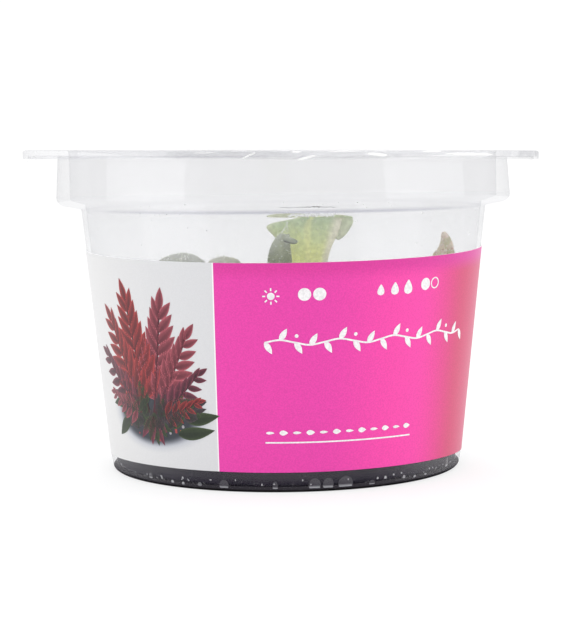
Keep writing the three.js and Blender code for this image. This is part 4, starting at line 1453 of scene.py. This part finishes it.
def gland_shape():
    """One gland: a hair-thin stalk with a round sticky head."""
    stalk = primitive("stalk", bpy.ops.mesh.primitive_cone_add, vertices=3, radius1=0.045 * MM,
                      radius2=0.02 * MM, depth=GLAND_TALL * MM, end_fill_type="NOTHING",
                      location=(0, 0, GLAND_TALL / 2 * MM))
    head = primitive("head", bpy.ops.mesh.primitive_ico_sphere_add, subdivisions=1, radius=0.085 * MM,
                     location=(0, 0, GLAND_TALL * MM))
    gland = join("gland", [stalk, head])
    bpy.ops.object.transform_apply(location=True, rotation=True, scale=True)
    return gland


def gland_spots(point, count, seed, spread):
    """Seeded places on a leaf's upper face: where a gland stands and which way it points."""
    spots = []
    for i in range(count):
        u = 0.88 * draw(seed + 0.37 * i)
        t = mix(*spread, 0.5 + 0.5 * draw(seed + 0.71 * i + 5))
        across = Vector(point(min(1, u + 0.04), t)) - Vector(point(max(-1, u - 0.04), t))
        along = Vector(point(u, min(1, t + 0.02))) - Vector(point(u, max(0, t - 0.02)))
        normal = across.cross(along).normalized()
        spots.append((Vector(point(u, t)) + normal * (0.42 * flesh(u, t)), normal))
    return spots


def make_glands(spots, material):
    gland = gland_shape()
    wear(gland, material)
    copies = []
    for i, (place, normal) in enumerate(spots):
        copy = copied(gland)
        turn = normal.to_track_quat("Z", "Y").to_matrix().to_4x4()
        size = Matrix.Scale(1 + 0.3 * draw(i + 7.7), 4)
        copy.data.transform(Matrix.Translation(place * MM) @ turn @ size)
        copies.append(copy)
    bpy.data.objects.remove(gland)
    return join("glands", copies)


def make_plantlet(plantlet, number, finishes):
    name = plantlet["name"]
    slot = "leaf_olive" if name == "plantlet_right" else "leaf"
    pieces = [crown(plantlet, finishes["crown"])]
    spots = []
    for i, leaf in enumerate(whorl_leaves(plantlet, number)):
        def point(u, t):
            return leaf_point(leaf, plantlet["at"], u, t)
        pieces.append(leaf_of(point, finishes[slot], BLADE_COLUMNS, BLADE_ROWS))
        spots += gland_spots(point, BLADE_GLANDS, 20 * number + i, BLADE_GLAND_SPREAD)
    for i, (owner, rows, finish, columns, steps, ripple, rib, count, spread) in enumerate(SHOWING_LEAVES):
        if owner == name:
            pieces.append(leaf_of(lofted_point(rows, ripple, rib), finishes[finish], columns, steps))
            spots += gland_spots(lofted_point(rows), count, 300 + 9 * i, spread)
    pieces.append(make_glands(spots, finishes["dew"]))
    finish_piece(join("rosette" + name.removeprefix("plantlet"), pieces), name, 80)


def make_plantlets():
    finishes = {"dew": gland_material(), "crown": crown_material()}
    for finish, (name, low, high, rib, margin, changes) in LEAF_FINISHES.items():
        finishes[finish] = leaf_material(name, low, high, rib, margin, **changes)
    for number, plantlet in enumerate(PLANTLETS):
        make_plantlet(plantlet, number, finishes)


# ---- stage, light and camera ----

def make_floor():
    floor = primitive("white_floor", bpy.ops.mesh.primitive_circle_add, vertices=64, radius=FLOOR_R,
                      fill_type="NGON")
    nodes = painted("white_floor")
    top = nodes.bsdf("Diffuse", nodes.clouded(3.0, (0.24, 0.24, 0.24), (0.26, 0.26, 0.26)))
    glow = nodes.add("Emission", Color=(1, 1, 1), Strength=FLOOR_GLOW).outputs[0]
    wear(floor, nodes.out(nodes.add("AddShader", top, glow).outputs[0]))


def make_world():
    """White to the eye; as a source of light, softer and a little greyer below."""
    world = bpy.data.worlds.new("studio")
    bpy.context.scene.world = world
    nodes = Nodes(world)
    up = nodes.parts(nodes.add("TexCoord").outputs["Generated"])[2]
    strength = nodes.span(up, 0.25, 0.75, HORIZON_LIGHT, SKY_LIGHT)
    light = nodes.add("Background", Color=(0.985, 0.992, 1.0), Strength=strength).outputs[0]
    seen = nodes.add("Background", Color=(1, 1, 1), Strength=WHITE_SKY).outputs[0]
    by_eye = nodes.add("LightPath").outputs["Is Camera Ray"]
    nodes.add("OutputWorld", Surface=nodes.mixed(by_eye, light, seen))


def soft_light(name, place, target, width, height, power):
    """A studio softbox: where it stands and what it faces, in metres."""
    lamp = bpy.data.lights.new(name, "AREA")
    lamp.shape = "RECTANGLE"
    lamp.size = width
    lamp.size_y = height
    lamp.energy = power
    holder = bpy.data.objects.new(name, lamp)
    bpy.context.scene.collection.objects.link(holder)
    holder.location = place
    way = Vector(target) - Vector(place)
    holder.rotation_euler = way.to_track_quat("-Z", "Y").to_euler()
    holder.visible_camera = False


def make_lights():
    soft_light("top_box", (0.0, 0.35, 0.95), (0, 0, 0.03), 0.7, 0.7, 4.5)
    soft_light("left_box", (-0.60, -0.257, 0.22), (0, -0.257, 0.05), 0.62, 0.5, 1.05)
    soft_light("right_box", (0.65, -0.228, 0.22), (0, -0.228, 0.05), 0.667, 0.5, 1.05)


def make_camera():
    data = bpy.data.cameras.new("camera")
    data.sensor_fit = "VERTICAL"
    data.sensor_height = SENSOR
    data.lens = LENS_SHARE * SENSOR
    data.clip_start = 0.01
    camera = bpy.data.objects.new("camera", data)
    bpy.context.scene.collection.objects.link(camera)
    place = Matrix.Translation((CAMERA_ASIDE * MM, -CAMERA_BACK * MM, CAMERA_UP * MM))
    pitch = Matrix.Rotation(math.pi / 2 - CAMERA_PITCH, 4, "X")
    camera.matrix_world = place @ pitch @ Matrix.Rotation(CAMERA_ROLL, 4, "Z")
    bpy.context.scene.camera = camera


def set_picture():
    scene = bpy.context.scene
    scene.view_settings.view_transform = "Standard"
    scene.cycles.transparent_max_bounces = 48


make_camera()
make_world()
make_lights()
make_floor()
set_picture()
make_cup()
make_film()
make_label()
make_sprig()
make_marks()
make_gel()
make_bubbles()
make_droplets()
make_lip_glints()
make_wet_line()
make_plantlets()
